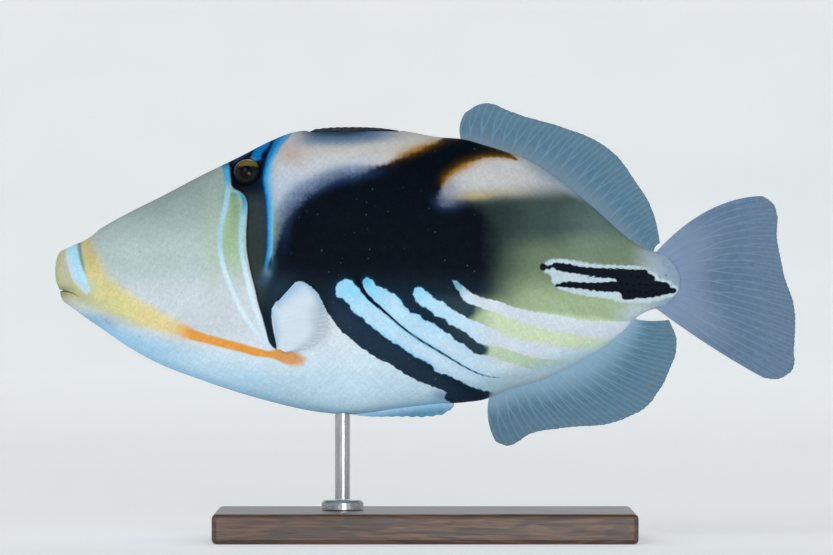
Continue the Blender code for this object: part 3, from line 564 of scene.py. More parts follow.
STRIPE_D_TOP = (
    (452, 280), (458, 282), (465, 288), (470, 292), (478, 296), (490, 299), (500, 302), (520, 309),
    (545, 313), (570, 318), (600, 321), (632, 322))
STRIPE_D_LOW = (
    (620, 338), (605, 339), (590, 337), (560, 332), (530, 325), (500, 314), (485, 309), (475, 306),
    (468, 303), (463, 299), (459, 292), (455, 286))

BAR_1 = (
    (539, 266.5), (541, 264), (545, 264), (549, 266), (553, 263.5), (556, 262.5), (562, 263.5),
    (580, 266), (600, 267.5), (625, 269), (640, 270), (646, 270), (649, 273), (654, 275), (655, 280))
BAR_1_REAR = (
    (661, 281), (668, 283), (671, 287), (677, 289), (676, 292), (669, 294), (655, 297), (640, 298),
    (622, 298), (620, 292))
BAR_1_LOW = (
    (618, 286), (616, 280.5), (600, 277.5), (580, 274.5), (562, 271.5), (553, 268.5), (547, 269.5),
    (543, 270.5), (539.5, 269))
BAR_2 = ((554, 286.5), (558, 283.5), (564, 282), (590, 282.5), (615, 281), (622, 281))
BAR_2_LOW = ((624, 292), (600, 291), (580, 289), (560, 287.5))
BAR_GLOW_TOP = (
    (542, 263.5), (547, 262), (550, 260), (556, 259), (580, 262), (600, 264), (620, 265.3),
    (645, 267.5), (655, 272.5), (661, 278.5), (671, 282), (680, 290))
BAR_GLOW_LOW = (
    (671, 297.5), (655, 301), (640, 302.5), (625, 302.5), (605, 298.5), (585, 295.5), (566, 291.5),
    (557, 288), (552, 282), (550, 275), (543, 271.5))

# The lips, the mask of yellow round the mouth and the orange streak on the cheek
LIP_BAND_FRONT = (
    (65, 246), (65.6, 252), (66.4, 259), (67.6, 265), (69.3, 272), (72, 279), (76.5, 285), (81, 290),
    (86, 294.5))
LIP_BAND_REAR = (
    (90, 291), (88.3, 285), (86, 277), (83, 270), (80.6, 262), (79, 254), (78.3, 248), (78, 242))
LIP_LINE = ((78.9, 241), (79.6, 249), (80.8, 257), (82.3, 264), (84.2, 271), (86.8, 279))
LIP_LINE_WIDTHS = (1.7, 1.7, 1.2, -1.2)
MASK_TOP = (
    (80, 234), (89, 238), (94, 250), (100, 260), (105, 270), (110, 279), (120, 286), (130, 293),
    (140, 300), (150, 305), (160, 311), (170, 317), (180, 322), (200, 332), (220, 338), (240, 343),
    (260, 349), (268, 351), (280, 348.5), (295, 352), (306, 358))
MASK_LOW = (
    (303, 364), (292, 366), (280, 361.5), (270, 358), (257, 356.5), (240, 352), (220, 347),
    (200, 342), (180, 337), (160, 331.5), (140, 326), (120, 319), (105, 313), (85, 306.5), (75, 303),
    (62, 299))
MASK_FRONT = ((50, 290), (45, 260), (60, 240))

GILL_SLIT = ((262, 302), (265, 313), (268.5, 326), (272, 338), (276, 348))
PATCH_SPREAD = 1.2            # millimetres
BEAD_STEP = 2.3               # how far apart the scallops of the edges are, in millimetres
BEAD_DEPTH = 0.26
MOUTH_FOLD = ((66, 291.5), (71, 293), (76, 295.5), (80, 300))

# What stands out of the plain body or is sunk into it, in millimetres. A crease has its path,
# depth and width, a pair is a height or depth and a width, and a wave has its height, its two
# lengths and its start
CREASES = ((LIP_LINE, 0.28, 0.6), (GILL_SLIT, 1.3, 0.55), (MOUTH_FOLD, 0.25, 0.5))
FIN_BASE = (0.55, 2.0)
GILL_LIP = (0.3, 1.0)
GILL_LIP_BEHIND = 1.4
NOSTRIL_RADIUS = 0.95
NOSTRIL_RIM = (0.28, 0.35)
NOSTRIL_PIT = (1.0, 0.5)
LID_RADIUS = 5.35
LID = (0.42, 0.62)
SOCKET_DEPTH = 3.4
SOCKET_WALL = (4.35, 4.95)    # from its floor to the skin, as distances from its middle
FLESH_WAVES = ((0.10, 8.0, 11.0, 0.0), (0.07, 4.3, -6.1, 1.3))

# Soft tones laid over the skin, one after another. A row has a tone, its strength and the
# windows that fade it. A window is one of these:
#   a name from ZONES
#   a map, where on it the window starts and where it is full, and for x or y also how much it
#   leans with the other one and about which place
#   "near" or "past" a value of a map, with how far it reaches
#   a soft round spot: column, row, width and height
#   a sum: rows of a strength and a window
ZONES = (
    ("above_patch", ("x", 262, 285), ("y", 235, 190)),
    ("behind", ("x", 425, 470)),
    ("rear_green", "behind", ("x", 668, 640), ("y", 372, 352, 0.1, 440)),
    ("belly_end", ("x", 440, 470), ("y", 369, 386, -0.3, 490)),
    ("line_3", ("x", 255, 262), ("y", 292, 272)),
    ("line_3_front", "line_3", ("lateral", -0.1, -0.8)),
    ("deep_line", ((1.7, (258, 152, 10, 10)), (1.0, "line_3_front"))),
    ("smear", (267, 273, 4.4, 5)),
    ("smear_low", (264, 281, 6.5, 6)),
    ("fringe_top", (418, 149, 32, 15)),
    ("fringe_side", ((1.0, (459, 166, 24, 11)), (1.0, (443, 175, 9, 9)))),
    ("fringe", ((1.0, "fringe_top"), (1.0, "fringe_side"), (1.0, (502, 154, 28, 8)))),
    ("haze", ((1.0, (290, 208, 22, 30)), (1.0, (318, 182, 34, 18)), (1.0, (352, 170, 24, 12)),
              (0.8, (446, 203, 14, 8)))),
    ("cheek", ("x", 95, 120), ("x", 225, 205)),
)
MOUTH_COATS = (
    (LIP, 1.0, ("x", 80, 71), ("y", 300, 292)),
    # painted reflection of greenish light on the front rim of the lips
    (LIP_RIM_REFLECTION, 0.6, ("lip", 62, 55), ("y", 298, 290)),
    (LIP_PINK, 0.7, (66, 264, 3, 17)),
    (MOUTH_SHADE, 1.0, ((0.5, (69, 291, 9, 5)), (0.3, (83, 297, 8, 4)))),
    # painted shade in the slit of the mouth
    (MOUTH_SLIT_SHADE, 0.8, (61, 291, 6, 5)),
    (MOUTH_SHADE, 0.25, ("x", 74, 64), ("y", 290, 296)),
)
CHEEK_COATS = (
    (CHEEK_HIGH, 1.0, ("y", 256, 200), ("x", 80, 150)),
    (CHEEK_LOW, 1.0, ("y", 258, 306)),
    (YELLOW_GREEN, 0.5, (214, 240, 9, 50)),
    (CHIN, 1.0, ("y", 298, 318, 0.32, 60), ("x", 420, 300)),
    # painted shade along the lower edge of the chin
    (CHIN_EDGE_SHADE, 0.9, (92, 322, 26, 8)),
)
BELLY_COATS = (
    (BREAST, 1.0, ("x", 235, 290), ("y", 275, 300), ("y", 385, 345)),
    (BREAST, 0.7, ("x", 160, 230), ("y", 330, 345), ("y", 385, 355)),
    (BELLY, 0.5, ("x", 130, 190), ("y", 340, 362)),
    (BELLY, 1.0, ("x", 250, 330), ("y", 350, 392, 0.1, 300)),
    (BELLY_REAR, 0.4, ("x", 380, 440), ("y", 388, 405)),
    # painted shade on the belly towards the vent
    (VENT_SHADE, 0.7, (441, 397, 9, 8)),
    # painted shade along the underside edge of the belly
    (BELLY_EDGE_SHADE, 0.7, ("edge", 3.5, 0.5), ("x", 70, 120), ("x", 470, 440)),
    # painted shade on the flap below the belly's edge
    (FLAP_SHADE, 0.9, ("edge", 0.8, -2.8), ("x", 335, 375)),
)
BACK_COATS = (
    (OLIVE_BAND, 1.0, ("pocket", -0.6, 0.4), ("y", 292, 245)),
    (OLIVE_CORE, 0.8, ("pocket", 0.0, 2.0), (235, 208, 9, 30)),
    (POCKET_TOP, 0.7, (234, 193, 7, 5)),
    (NAPE_WHITE, 1.0, "above_patch"),
    (NAPE_BLUE, 1.0, "above_patch", (280, 184, 26, 16)),
    (BACK_WHITE, 1.0, "above_patch", ("y", 164, 148)),
    (NAPE_PINK, 1.0, (291, 155, 17, 11)),
    # darker skin along the top of the back, deepened with painted shade next to the groove
    (BACK_PIGMENT_AND_SHADE, 1.0, ("x", 284, 318), ("x", 425, 365), ("back", 151, 139)),
    (BACK_PIGMENT_AND_SHADE_DEEP, 1.0, ("x", 292, 326), ("x", 400, 345), ("back", 141, 132)),
    (NAPE_HAZE, 0.7, ("past", "out", 0.0, 3.4), "haze", ("x", 400, 370)),
    (LINE_SKY, 0.5, ("near", "lateral", 1.2, 1.0), ("y", 230, 205), ("y", 150, 180)),
    (WEDGE, 0.8, (276, 228, 5, 18)),
    (WEDGE_DEEP, 0.95, ("y", 230, 243), (276, 257, 9, 24)),
    (SMEAR, 0.9, "smear"),
    (SMEAR_DEEP, 0.8, "smear_low"),
)
REAR_COATS = (
    (OVAL, 1.0, "behind", ("y", 220, 200)),
    (OVAL_REAR, 1.0, "behind", ("x", 505, 560), ("y", 260, 230)),
    (OLIVE_HIGH, 1.0, "rear_green", ("y", 168, 193, 0.5, 560), ("y", 183, 206, -0.05, 480)),
    (OLIVE_SIDE, 1.0, "rear_green", ("x", 545, 615), ("y", 190, 210)),
    (OLIVE, 1.0, "rear_green", ("y", 228, 258)),
    (OLIVE_STALK, 1.0, "rear_green", ("x", 550, 590), ("y", 224, 250)),
    (OLIVE_LOW, 1.0, "rear_green", ("y", 266, 304, 0.05, 560)),
    (FIN_FOOT, 1.0, "rear_green", ("y", 194, 180, 0.5, 560), ("x", 510, 550)),
    (FIN_FOOT_REAR, 0.8, "rear_green", ("y", 200, 182, 0.5, 560), ("x", 565, 605)),
    (OLIVE_DARK, 1.0, "behind", ("x", 545, 490, -0.15, 240), ("y", 189, 211, 0.05, 480), ("y", 318, 290)),
    (OVAL_HAZE, 1.0, (446, 188, 15, 12)),
    (OVAL_SHADE, 0.9, (444, 200, 12, 7)),
    (GOLD, 1.0, ((0.6, (474, 195.5, 16, 4)), (0.3, (505, 192, 24, 4)))),
    (GREEN_BAND, 1.0, ("x", 474, 500), ("y", 304, 314, 0.1, 500), ("x", 640, 600)),
    (GREEN_BAND_LOW, 1.0, ("x", 480, 500), ("y", 344, 352, 0.1, 500), ("x", 610, 570)),
    (STRIPE_REAR, 1.0, ("x", 455, 480), ("y", 364, 374, -0.3, 540)),
    (BELLY_REAR, 0.65, "belly_end"),
    (STALK, 1.0, ("x", 624, 668)),
    (STALK, 1.0, ("x", 606, 640), ("y", 298, 312)),
    (STALK_END, 1.0, ("x", 640, 668)),
    (BURNT, 0.75, ("near", "out", 0.0, 0.9), "fringe"),
    (BURNT, 0.95, ("past", "out", 0.0, 2.3), "fringe_side"),
    (FRINGE_GOLD, 0.75, ("past", "out", 0.3, 1.6), "fringe_top"),
)
LINE_COATS = (
    (LINE_WHITE, 1.0, ("y", 225, 300)),
    (LINE_EYE, 1.0, ("x", 240, 232), ("y", 194, 178)),
    (LINE_TEAL, 1.0, ("x", 250, 240), ("y", 171, 163)),
    (LINE_HOOK, 1.0, (243, 199, 8, 14)),
    (LINE_BLUE, 1.0, "line_3"),
    (LINE_SKY, 1.0, "line_3", ("lateral", 0.0, 0.9)),
    (DEEP_BLUE, 1.0, "deep_line"),
    (DEEP_BLUE, 0.5, "line_3", ("y", 164, 140)),
    (BROW_DEEP, 1.0, ("y", 166, 162), ("x", 231, 235), ("x", 254, 249)),
    (LINE_END, 0.9, "line_3", ("y", 253, 264)),
    (SMEAR, 1.0, "line_3", ("y", 266, 271)),
)
STRIPE_COATS = (
    (STRIPE_HEAD, 0.75, ("near", "pale_stripes", 0.2, 0.7), ("x", 460, 420)),
    (STRIPE_HEAD, 1.0, ((0.9, (348, 289, 16, 14)), (0.9, (373, 292, 14, 13)), (1.0, (417, 292, 10, 9)))),
    (STRIPE_REAR, 1.0, ("x", 430, 490, 0.4, 290), ("y", 345, 325, 0.62, 440)),
    (STRIPE_REAR, 1.0, ("x", 475, 520)),
    (CYAN, 0.9, (367, 281, 6, 6)),
    (STRIPE_SHADE, 0.8, ("x", 385, 425), ("y", 330, 352), ("pale_stripes", 0.8, 2.2)),
    (STRIPE_TIP, 1.0, (457, 285, 9, 9)),
    (BELLY_REAR, 0.65, "belly_end"),
)
DARK_COATS = (
    (DARK_LOW, 0.9, ("y", 262, 306)),
    (DARK_FRONT, 0.8, (281, 290, 15, 15), ("x", 262, 270)),
    (DARK_BAND, 1.0, ("x", 325, 340), ("y", 306, 326, 0.7, 355)),
    (DARK_REAR, 1.0, ("x", 415, 447, 0.6, 300), ("y", 290, 304)),
    (EYE_BAND, 1.0, ("x", 272, 262), ("y", 185, 205), ("y", 320, 284), ("eye_band", -0.3, 1.2)),
    (HAZE, 0.9, ("out", -6.0, -1.0), "haze"),
    (BROWN, 0.9, ("near", "out", -1.8, 1.4), "fringe"),
    (FRINGE_DEEP, 0.9, ("near", "out", -0.5, 1.1), "fringe"),
    (BURNT, 0.6, ("near", "out", 0.1, 0.7), "fringe"),
    (HALO, 0.45, ("near", "pale_stripes", -0.1, 0.55), ("x", 470, 400)),
    (HALO, 0.5, ("near", "pale_lines", 0.0, 0.5), ("x", 252, 260), ("y", 268, 250)),
    (WEDGE_DEEP, 0.7, (272, 262, 4, 9)),
    (SMEAR, 0.9, "smear"),
    (SMEAR_DEEP, 0.7, "smear_low"),
)
LIP_COATS = (
    (LIP_PALE, 0.8, ("x", 71, 65, 0.28, 250)),
    (LIP_PALE, 0.5, ("y", 270, 290)),
)
MASK_COATS = (
    (MOUTH_LOW, 0.8, ("y", 298, 312, 0.45, 100), ("x", 175, 140)),
    (GOLD, 1.0, ((1.0, (91, 252, 8, 18)), (0.3, (108, 280, 12, 10)))),
    (MASK_GREEN, 0.9, (88, 287, 8, 11)),
    (CORN, 1.0, ("x", 120, 160)),
    (ORANGE, 1.0, ("x", 172, 192)),
    (ORANGE_END, 1.0, ("x", 268, 292)),
    (YELLOW_GREEN, 1.0, ((0.6, (83, 262, 4, 18)), (0.5, (86, 303, 22, 5)))),
    *MOUTH_COATS,
)
SKIN_TONES = {
    "ground": (CHEEK, CHEEK_COATS + BELLY_COATS + MOUTH_COATS + BACK_COATS + REAR_COATS),
    "line_tone": (LINE_PALE, LINE_COATS),
    "stripe_tone": (STRIPE_PALE, STRIPE_COATS),
    "dark_tone": (BLACK, DARK_COATS),
    "lip_tone": (LIP_BLUE, LIP_COATS),
    "mask_tone": (MOUTH_YELLOW, MASK_COATS),
}

# Where the black patch spreads past its outline into an orange-brown fringe
FRINGE_SPREAD = ((1.0, (452, 166, 30, 16)), (1.0, (438, 180, 10, 14)), (1.0, (484, 154, 24, 8)))
# How soft the edges of the patch and the mask are, in millimetres, and where they are softer
PATCH_SOFT = 0.22
PATCH_SOFTER = (
    (2.4, (278, 226, 12, 20)), (5.0, (292, 202, 20, 20)), (4.0, (316, 185, 26, 17)),
    (3.4, (350, 172, 24, 12)), (1.1, (408, 153, 34, 14)), (0.8, (452, 168, 20, 14)),
    (1.8, (438, 196, 12, 12)), (6.0, (490, 248, 22, 44)), (3.4, (486, 298, 14, 12)),
    (2.4, (458, 204, 24, 7)), (1.2, (478, 318, 12, 10)), (0.9, (486, 350, 10, 8)),
    (0.8, (490, 394, 12, 10)))
MASK_SOFT = 0.45
MASK_SOFTER = ((1.3, ("x", 200, 174)), (0.9, ("x", 150, 110)), (1.2, (302, 358, 14, 12)))
BEAD_FREE = (300, 292, 30, 24)
BACK_SLOPE = 0.12
BACK_SLOPE_START = 345
LIP_CURVE = 0.05 / 8
LIP_CURVE_ROW = 265


def window_weight(maps, window):
    """How much a window lets through at each place. The notes above ZONES say what it may be."""
    if isinstance(window, str):
        return maps[window]
    kind = window[0]
    if kind in ("near", "past"):
        _, key, middle, width = window
        off = maps[key] - middle
        return bell(off if kind == "near" else np.maximum(off, 0.0), width)
    if isinstance(kind, str):
        start, full, lean, about = (*window[1:], 0.0, 0.0)[:4]
        across = maps["y" if kind == "x" else "x"]
        return rise(maps[kind] - lean * (across - about), start, full)
    if isinstance(kind, tuple):
        return sum(strength * window_weight(maps, part) for strength, part in window)
    column, row, wide, high = window
    return np.exp(-((maps["x"] - column) / wide) ** 2 - ((maps["y"] - row) / high) ** 2)


def all_windows(maps, windows):
    """What gets through all of the windows, one behind another."""
    return math.prod(window_weight(maps, window) for window in windows)


def marking_layers(x, z, beads):
    """How far each place is inside each crisp marking, in millimetres.

    Beads push the edges of the patch, stripes and bars in and out.
    """
    lines = np.maximum.reduce([
        ribbon(x, z, LINE_1, LINE_1_WIDTHS), ribbon(x, z, LINE_2, LINE_2_WIDTHS),
        ribbon(x, z, LINE_3, LINE_3_WIDTHS), ribbon(x, z, BROW_GLEAM, BROW_GLEAM_WIDTHS),
        area(x, z, BROW_TRIANGLE)])
    stripes = np.maximum.reduce([
        area(x, z, STRIPE_A_TOP, STRIPE_A_LOW), area(x, z, STRIPE_B_TOP, STRIPE_B_LOW),
        area(x, z, STRIPE_C_TOP, STRIPE_C_LOW), area(x, z, STRIPE_D_TOP, STRIPE_D_LOW)])
    bars = np.maximum(area(x, z, BAR_1, BAR_1_REAR, BAR_1_LOW), area(x, z, BAR_2, BAR_2_LOW))
    return {
        "eye_band": area(x, z, EYE_BAND_EDGE, EYE_BAND_BACK),
        "patch": area(x, z, PATCH_FRONT, PATCH_VENT, PATCH_REAR, PATCH_TOP) + beads,
        "pale_lines": lines,
        "pale_stripes": stripes - beads,
        "thin_line": ribbon(x, z, BLACK_LINE, BLACK_LINE_WIDTHS),
        "bars": bars + beads,
        "bar_glow": area(x, z, BAR_GLOW_TOP, BAR_GLOW_LOW) - beads,
        "mask": area(x, z, MASK_TOP, MASK_LOW, MASK_FRONT),
        "lip_band": area(x, z, LIP_BAND_FRONT, LIP_BAND_REAR),
        "lip_line": ribbon(x, z, LIP_LINE, LIP_LINE_WIDTHS),
    }


def skin_maps(x, z):
    """Everything that the windows are measured by, the crisp markings included.

    The beads are two crossed waves as fine as the scales.
    """
    maps = {"x": x / GRID_STEP + GRID_X, "y": GRID_Y - z / GRID_STEP}
    waves = np.cos(2 * math.pi * x / BEAD_STEP) + np.cos(2 * math.pi * z / BEAD_STEP)
    beads = BEAD_DEPTH / 2 * waves * (1 - window_weight(maps, BEAD_FREE))
    layers = marking_layers(x, z, beads)
    maps.update(layers)
    spread = np.clip(window_weight(maps, FRINGE_SPREAD), 0, 1)
    line_3 = drawn(LINE_3)
    maps["out"] = -layers["patch"] - PATCH_SPREAD * spread
    maps["pocket"] = area(x, z, LINE_1, LINE_2[::-1])
    maps["edge"] = z - belly_height(x)
    maps["back"] = maps["y"] + BACK_SLOPE * np.maximum(maps["x"] - BACK_SLOPE_START, 0)
    maps["lip"] = maps["x"] - LIP_CURVE * (maps["y"] - LIP_CURVE_ROW) ** 2
    maps["lateral"] = x - np.interp(-z, -line_3[:, 1], line_3[:, 0])
    for name, *windows in ZONES:
        maps[name] = np.clip(all_windows(maps, windows), 0, 1)
    return maps, layers


def layered(start, *coats):
    """Tones laid one over another, each with its own weight."""
    colour = np.broadcast_to(linear(start), coats[0][1].shape + (3,)).copy()
    for tone, weight in coats:
        colour += (linear(tone) - colour) * np.clip(weight, 0.0, 1.0)[..., None]
    return colour


def painted(points):
    """The attributes that carry the markings, for any piece that shows the skin."""
    maps, floats = skin_maps(*seen_on_grid(points))
    colours = {}
    for name, (start, coats) in SKIN_TONES.items():
        weights = [(tone, strength * all_windows(maps, windows)) for tone, strength, *windows in coats]
        colours[name] = layered(start, *weights)
    floats["patch_soft"] = -maps["out"] / (PATCH_SOFT + window_weight(maps, PATCH_SOFTER))
    floats["mask_soft"] = floats["mask"] / (MASK_SOFT + window_weight(maps, MASK_SOFTER))
    del floats["patch"], floats["mask"]
    floats["cheek"] = maps["cheek"]
    floats["throat"] = np.zeros(maps["x"].shape)
    return floats, colours


# Meshes

def grid_quads(rows, count, wrap):
    """Corner numbers of the quads of a grid, closed on itself across where wrap is true."""
    r = np.arange(rows - 1)[:, None]
    k = np.arange(count if wrap else count - 1)[None, :]
    n = (k + 1) % count
    corners = [r * count + k, r * count + n, (r + 1) * count + n, (r + 1) * count + k]
    return np.stack(corners, axis=-1).reshape(-1, 4)


def enclosed_volume(points, quads):
    a, b, c, d = (points[quads[:, k]] for k in range(4))
    return (np.einsum("ij,ij->i", a, np.cross(b, c)) + np.einsum("ij,ij->i", a, np.cross(c, d))).sum() / 6


def pole_quads(rows, count, first=True, last=True):
    """Quads of closed rings, the first or the last of which may be drawn to one point."""
    numbers = np.arange(rows * count).reshape(rows, count)
    if first:
        numbers[0] = numbers[0, 0]
    if last:
        numbers[-1] = numbers[-1, 0]
    return numbers.reshape(-1)[grid_quads(rows, count, True)]


def add_object(name, data):
    thing = bpy.data.objects.new(name, data)
    bpy.context.scene.collection.objects.link(thing)
    return thing


def add_mesh(name, points, quads, material):
    """A smooth mesh from points in millimetres. A quad that names a point twice is a triangle."""
    faces = [tuple(dict.fromkeys(face)) for face in quads.tolist()]
    mesh = bpy.data.meshes.new(name)
    mesh.from_pydata((points * MM).tolist(), [], [face for face in faces if len(face) > 2])
    mesh.shade_smooth()
    mesh.materials.append(material)
    return add_object(name, mesh)


def in_use(points, quads):
    """The points that the quads name, the quads' new numbers, and which points those are."""
    used, numbers = np.unique(quads, return_inverse=True)
    return points.reshape(-1, 3)[used], numbers.reshape(quads.shape), used


def make_piece(name, points, quads, material, floats=None, colours=None):
    """A closed piece, its faces turned outwards.

    Floats and colours hold one value a point and become attributes of those names.
    """
    points, quads, used = in_use(points, quads)
    if enclosed_volume(points, quads) < 0:
        quads = quads[:, ::-1]
    piece = add_mesh(name, points, quads, material)
    for key, values in (floats or {}).items():
        layer = piece.data.attributes.new(key, "FLOAT", "POINT")
        layer.data.foreach_set("value", np.asarray(values, np.float32).reshape(-1)[used])
    for key, values in (colours or {}).items():
        layer = piece.data.attributes.new(key, "FLOAT_COLOR", "POINT")
        full = np.ones((len(used), 4), np.float32)
        full[:, :3] = np.asarray(values, np.float32).reshape(-1, 3)[used]
        layer.data.foreach_set("color", full.reshape(-1))
    return piece


def merged(pieces):
    """Points and quads of several closed shapes as one."""
    points, quads, start = [], [], 0
    for some_points, some_quads in pieces:
        points.append(some_points)
        quads.append(some_quads + start)
        start += len(some_points)
    return np.concatenate(points), np.concatenate(quads)


# Materials

class Wiring:
    """Builds the nodes of a material. Each call returns an output for the next one."""

    def __init__(self, name):
        self.material = bpy.data.materials.new(name)
        self.material.use_nodes = True
        self.tree = self.material.node_tree
        self.shader = self.tree.nodes["Principled BSDF"]
        self.place = self.add("ShaderNodeTexCoord").outputs["Object"]

    def add(self, kind, **settings):
        node = self.tree.nodes.new(kind)
        for key, value in settings.items():
            setattr(node, key, value)
        return node

    def plug(self, socket, value):
        if isinstance(value, bpy.types.NodeSocket):
            self.tree.links.new(value, socket)
        elif isinstance(value, tuple) and len(value) == 3 and socket.type == "RGBA":
            socket.default_value = (*linear(value), 1.0)
        else:
            socket.default_value = value

    def set(self, **inputs):
        """Sets or feeds sockets of the shader, named with underscores for blanks."""
        for key, value in inputs.items():
            self.plug(self.shader.inputs[key.replace("_", " ")], value)

    def value(self, name):
        return self.add("ShaderNodeAttribute", attribute_name=name).outputs["Fac"]

    def tone(self, name):
        return self.add("ShaderNodeAttribute", attribute_name=name).outputs["Color"]

    def math(self, operation, a, b=0.0):
        node = self.add("ShaderNodeMath", operation=operation)
        self.plug(node.inputs[0], a)
        self.plug(node.inputs[1], b)
        return node.outputs[0]

    def times(self, a, b):
        return self.math("MULTIPLY", a, b)

    def plus(self, a, b):
        return self.math("ADD", a, b)

    def step(self, value, low, high, start=0.0, end=1.0):
        """From start at low to end at high, with soft ends."""
        node = self.add("ShaderNodeMapRange", interpolation_type="SMOOTHSTEP")
        for key, part in zip(("Value", "From Min", "From Max", "To Min", "To Max"),
                             (value, low, high, start, end)):
            self.plug(node.inputs[key], part)
        return node.outputs[0]

    def stretched(self, scale):
        node = self.add("ShaderNodeMapping")
        self.plug(node.inputs["Vector"], self.place)
        node.inputs["Scale"].default_value = scale
        return node.outputs[0]

    def noise(self, period, detail=3.0, roughness=0.5, place=None):
        """Cloudy values between 0 and 1 with the given period in millimetres."""
        node = self.add("ShaderNodeTexNoise")
        self.plug(node.inputs["Vector"], self.place if place is None else place)
        node.inputs["Scale"].default_value = 1 / (period * MM)
        node.inputs["Detail"].default_value = detail
        node.inputs["Roughness"].default_value = roughness
        return node.outputs["Fac"]

    def cells(self, period, feature="F1", randomness=1.0, place=None, output="Distance", flat=False):
        """Cells scattered at the period: in millimetres, or in those of the place that is given."""
        node = self.add("ShaderNodeTexVoronoi", feature=feature)
        if flat:
            node.voronoi_dimensions = "2D"
        self.plug(node.inputs["Vector"], self.place if place is None else place)
        node.inputs["Scale"].default_value = 1 / (period * MM) if place is None else 1 / period
        node.inputs["Randomness"].default_value = randomness
        return node.outputs[output]

    def mix(self, factor, a, b, blend="MIX"):
        node = self.add("ShaderNodeMix", data_type="RGBA", blend_type=blend)
        self.plug(node.inputs["Factor"], factor)
        self.plug(node.inputs[6], a)
        self.plug(node.inputs[7], b)
        return node.outputs[2]

    def bump(self, height, distance, strength=1.0, below=None):
        node = self.add("ShaderNodeBump")
        self.plug(node.inputs["Height"], height)
        node.inputs["Distance"].default_value = distance * MM
        node.inputs["Strength"].default_value = strength
        if below is not None:
            self.plug(node.inputs["Normal"], below)
        return node.outputs[0]


def scale_pattern(w, period, randomness=0.22):
    """Diamond scales: 0 in the grooves between them and 1 on them, from the flow attribute."""
    flow = w.add("ShaderNodeAttribute", attribute_name="flow").outputs["Vector"]
    turn = w.add("ShaderNodeMapping")
    w.plug(turn.inputs["Vector"], flow)
    turn.inputs["Rotation"].default_value = (0.0, 0.0, math.radians(45.0))
    edge = w.cells(period, "DISTANCE_TO_EDGE", randomness, turn.outputs[0], flat=True)
    shade = w.cells(period, "F1", randomness, turn.outputs[0], output="Color", flat=True)
    return w.step(edge, 0.0, 0.16), shade


def skin_material():
    """Satin skin: the soft tones, the crisp markings over them, then scales, mottle and flecks."""
    w = Wiring("triggerfish_skin")
    wave = w.math("SUBTRACT", w.noise(2.8, 2.0, 0.55), 0.5)
    fine = w.math("SUBTRACT", w.noise(0.9, 2.0, 0.6), 0.5)

    def coat(colour, name, tone, soft, sway, grain=0.25):
        """Lays a tone inside a marking, its edge softened and made to waver by two noises."""
        edge = w.plus(w.value(name), w.times(wave, sway))
        edge = w.plus(edge, w.times(fine, grain))
        return w.mix(w.step(edge, -soft, soft), colour, tone)

    colour = w.tone("ground")
    colour = coat(colour, "mask_soft", w.tone("mask_tone"), 1.0, 0.6)
    colour = coat(colour, "lip_band", w.tone("lip_tone"), 0.55, 0.25)
    # painted shade along the lip crease
    colour = coat(colour, "lip_line", LIP_CREASE_SHADE, 0.5, 0.2, 0.1)
    colour = coat(colour, "bar_glow", BAR_WHITE, 0.5, 0.8, 0.6)
    colour = coat(colour, "eye_band", w.tone("dark_tone"), 0.3, 0.25)
    colour = coat(colour, "patch_soft", w.tone("dark_tone"), 1.0, 0.5, 0.9)
    colour = coat(colour, "pale_lines", w.tone("line_tone"), 0.42, 0.2, 0.15)
    colour = coat(colour, "pale_stripes", w.tone("stripe_tone"), 0.3, 0.5, 0.5)
    colour = coat(colour, "thin_line", BLACK, 0.22, 0.15, 0.1)
    colour = coat(colour, "bars", BAR_BLACK, 0.22, 0.5, 0.8)

    ridge, shade = scale_pattern(w, 1.7)
    per_scale = w.add("ShaderNodeSeparateColor")
    w.plug(per_scale.inputs[0], shade)
    mottle = w.step(w.noise(0.9, 4.0, 0.7), 0.25, 0.75, 0.91, 1.07)
    mottle = w.times(mottle, w.step(per_scale.outputs[0], 0.0, 1.0, 0.97, 1.03))
    mottle = w.times(mottle, w.step(ridge, 0.0, 1.0, 0.955, 1.0))
    mottle = w.times(mottle, w.step(w.noise(14.0, 3.0), 0.3, 0.7, 0.96, 1.03))
    grey = w.add("ShaderNodeCombineColor")
    for socket in grey.inputs[:3]:
        w.plug(socket, mottle)
    colour = w.mix(1.0, colour, grey.outputs[0], "MULTIPLY")

    fleck = w.cells(2.9)
    sparse = w.step(w.noise(7.0, 2.0), 0.42, 0.66, 0.1, 1.0)
    fleck = w.times(w.step(fleck, 0.13, 0.05), sparse)
    in_black = w.times(fleck, w.step(w.value("patch_soft"), 0.5, 2.0))
    colour = w.mix(w.times(in_black, 0.30), colour, PALE_FLECK)
    cloud = w.step(w.noise(0.8, 4.0, 0.7), 0.45, 0.8)
    cloud = w.times(cloud, w.step(w.value("patch_soft"), 0.5, 2.0))
    colour = w.mix(w.times(cloud, 0.035), colour, PALE_CLOUD)
    dark_fleck = w.times(w.step(w.cells(7.1), 0.045, 0.02), w.step(w.value("cheek"), 0.0, 1.0))
    colour = w.mix(w.times(dark_fleck, 0.6), colour, DARK_FLECK)
    colour = w.mix(w.value("throat"), colour, THROAT)
    w.set(Base_Color=colour)

    w.set(Roughness=w.step(w.noise(3.0, 3.0), 0.2, 0.8, 0.44, 0.58))
    w.set(Specular_IOR_Level=0.035)
    scales = w.bump(ridge, 0.04, 0.35)
    w.set(Normal=w.bump(w.noise(0.45, 3.0, 0.6), 0.04, 0.4, scales))
    return w.material


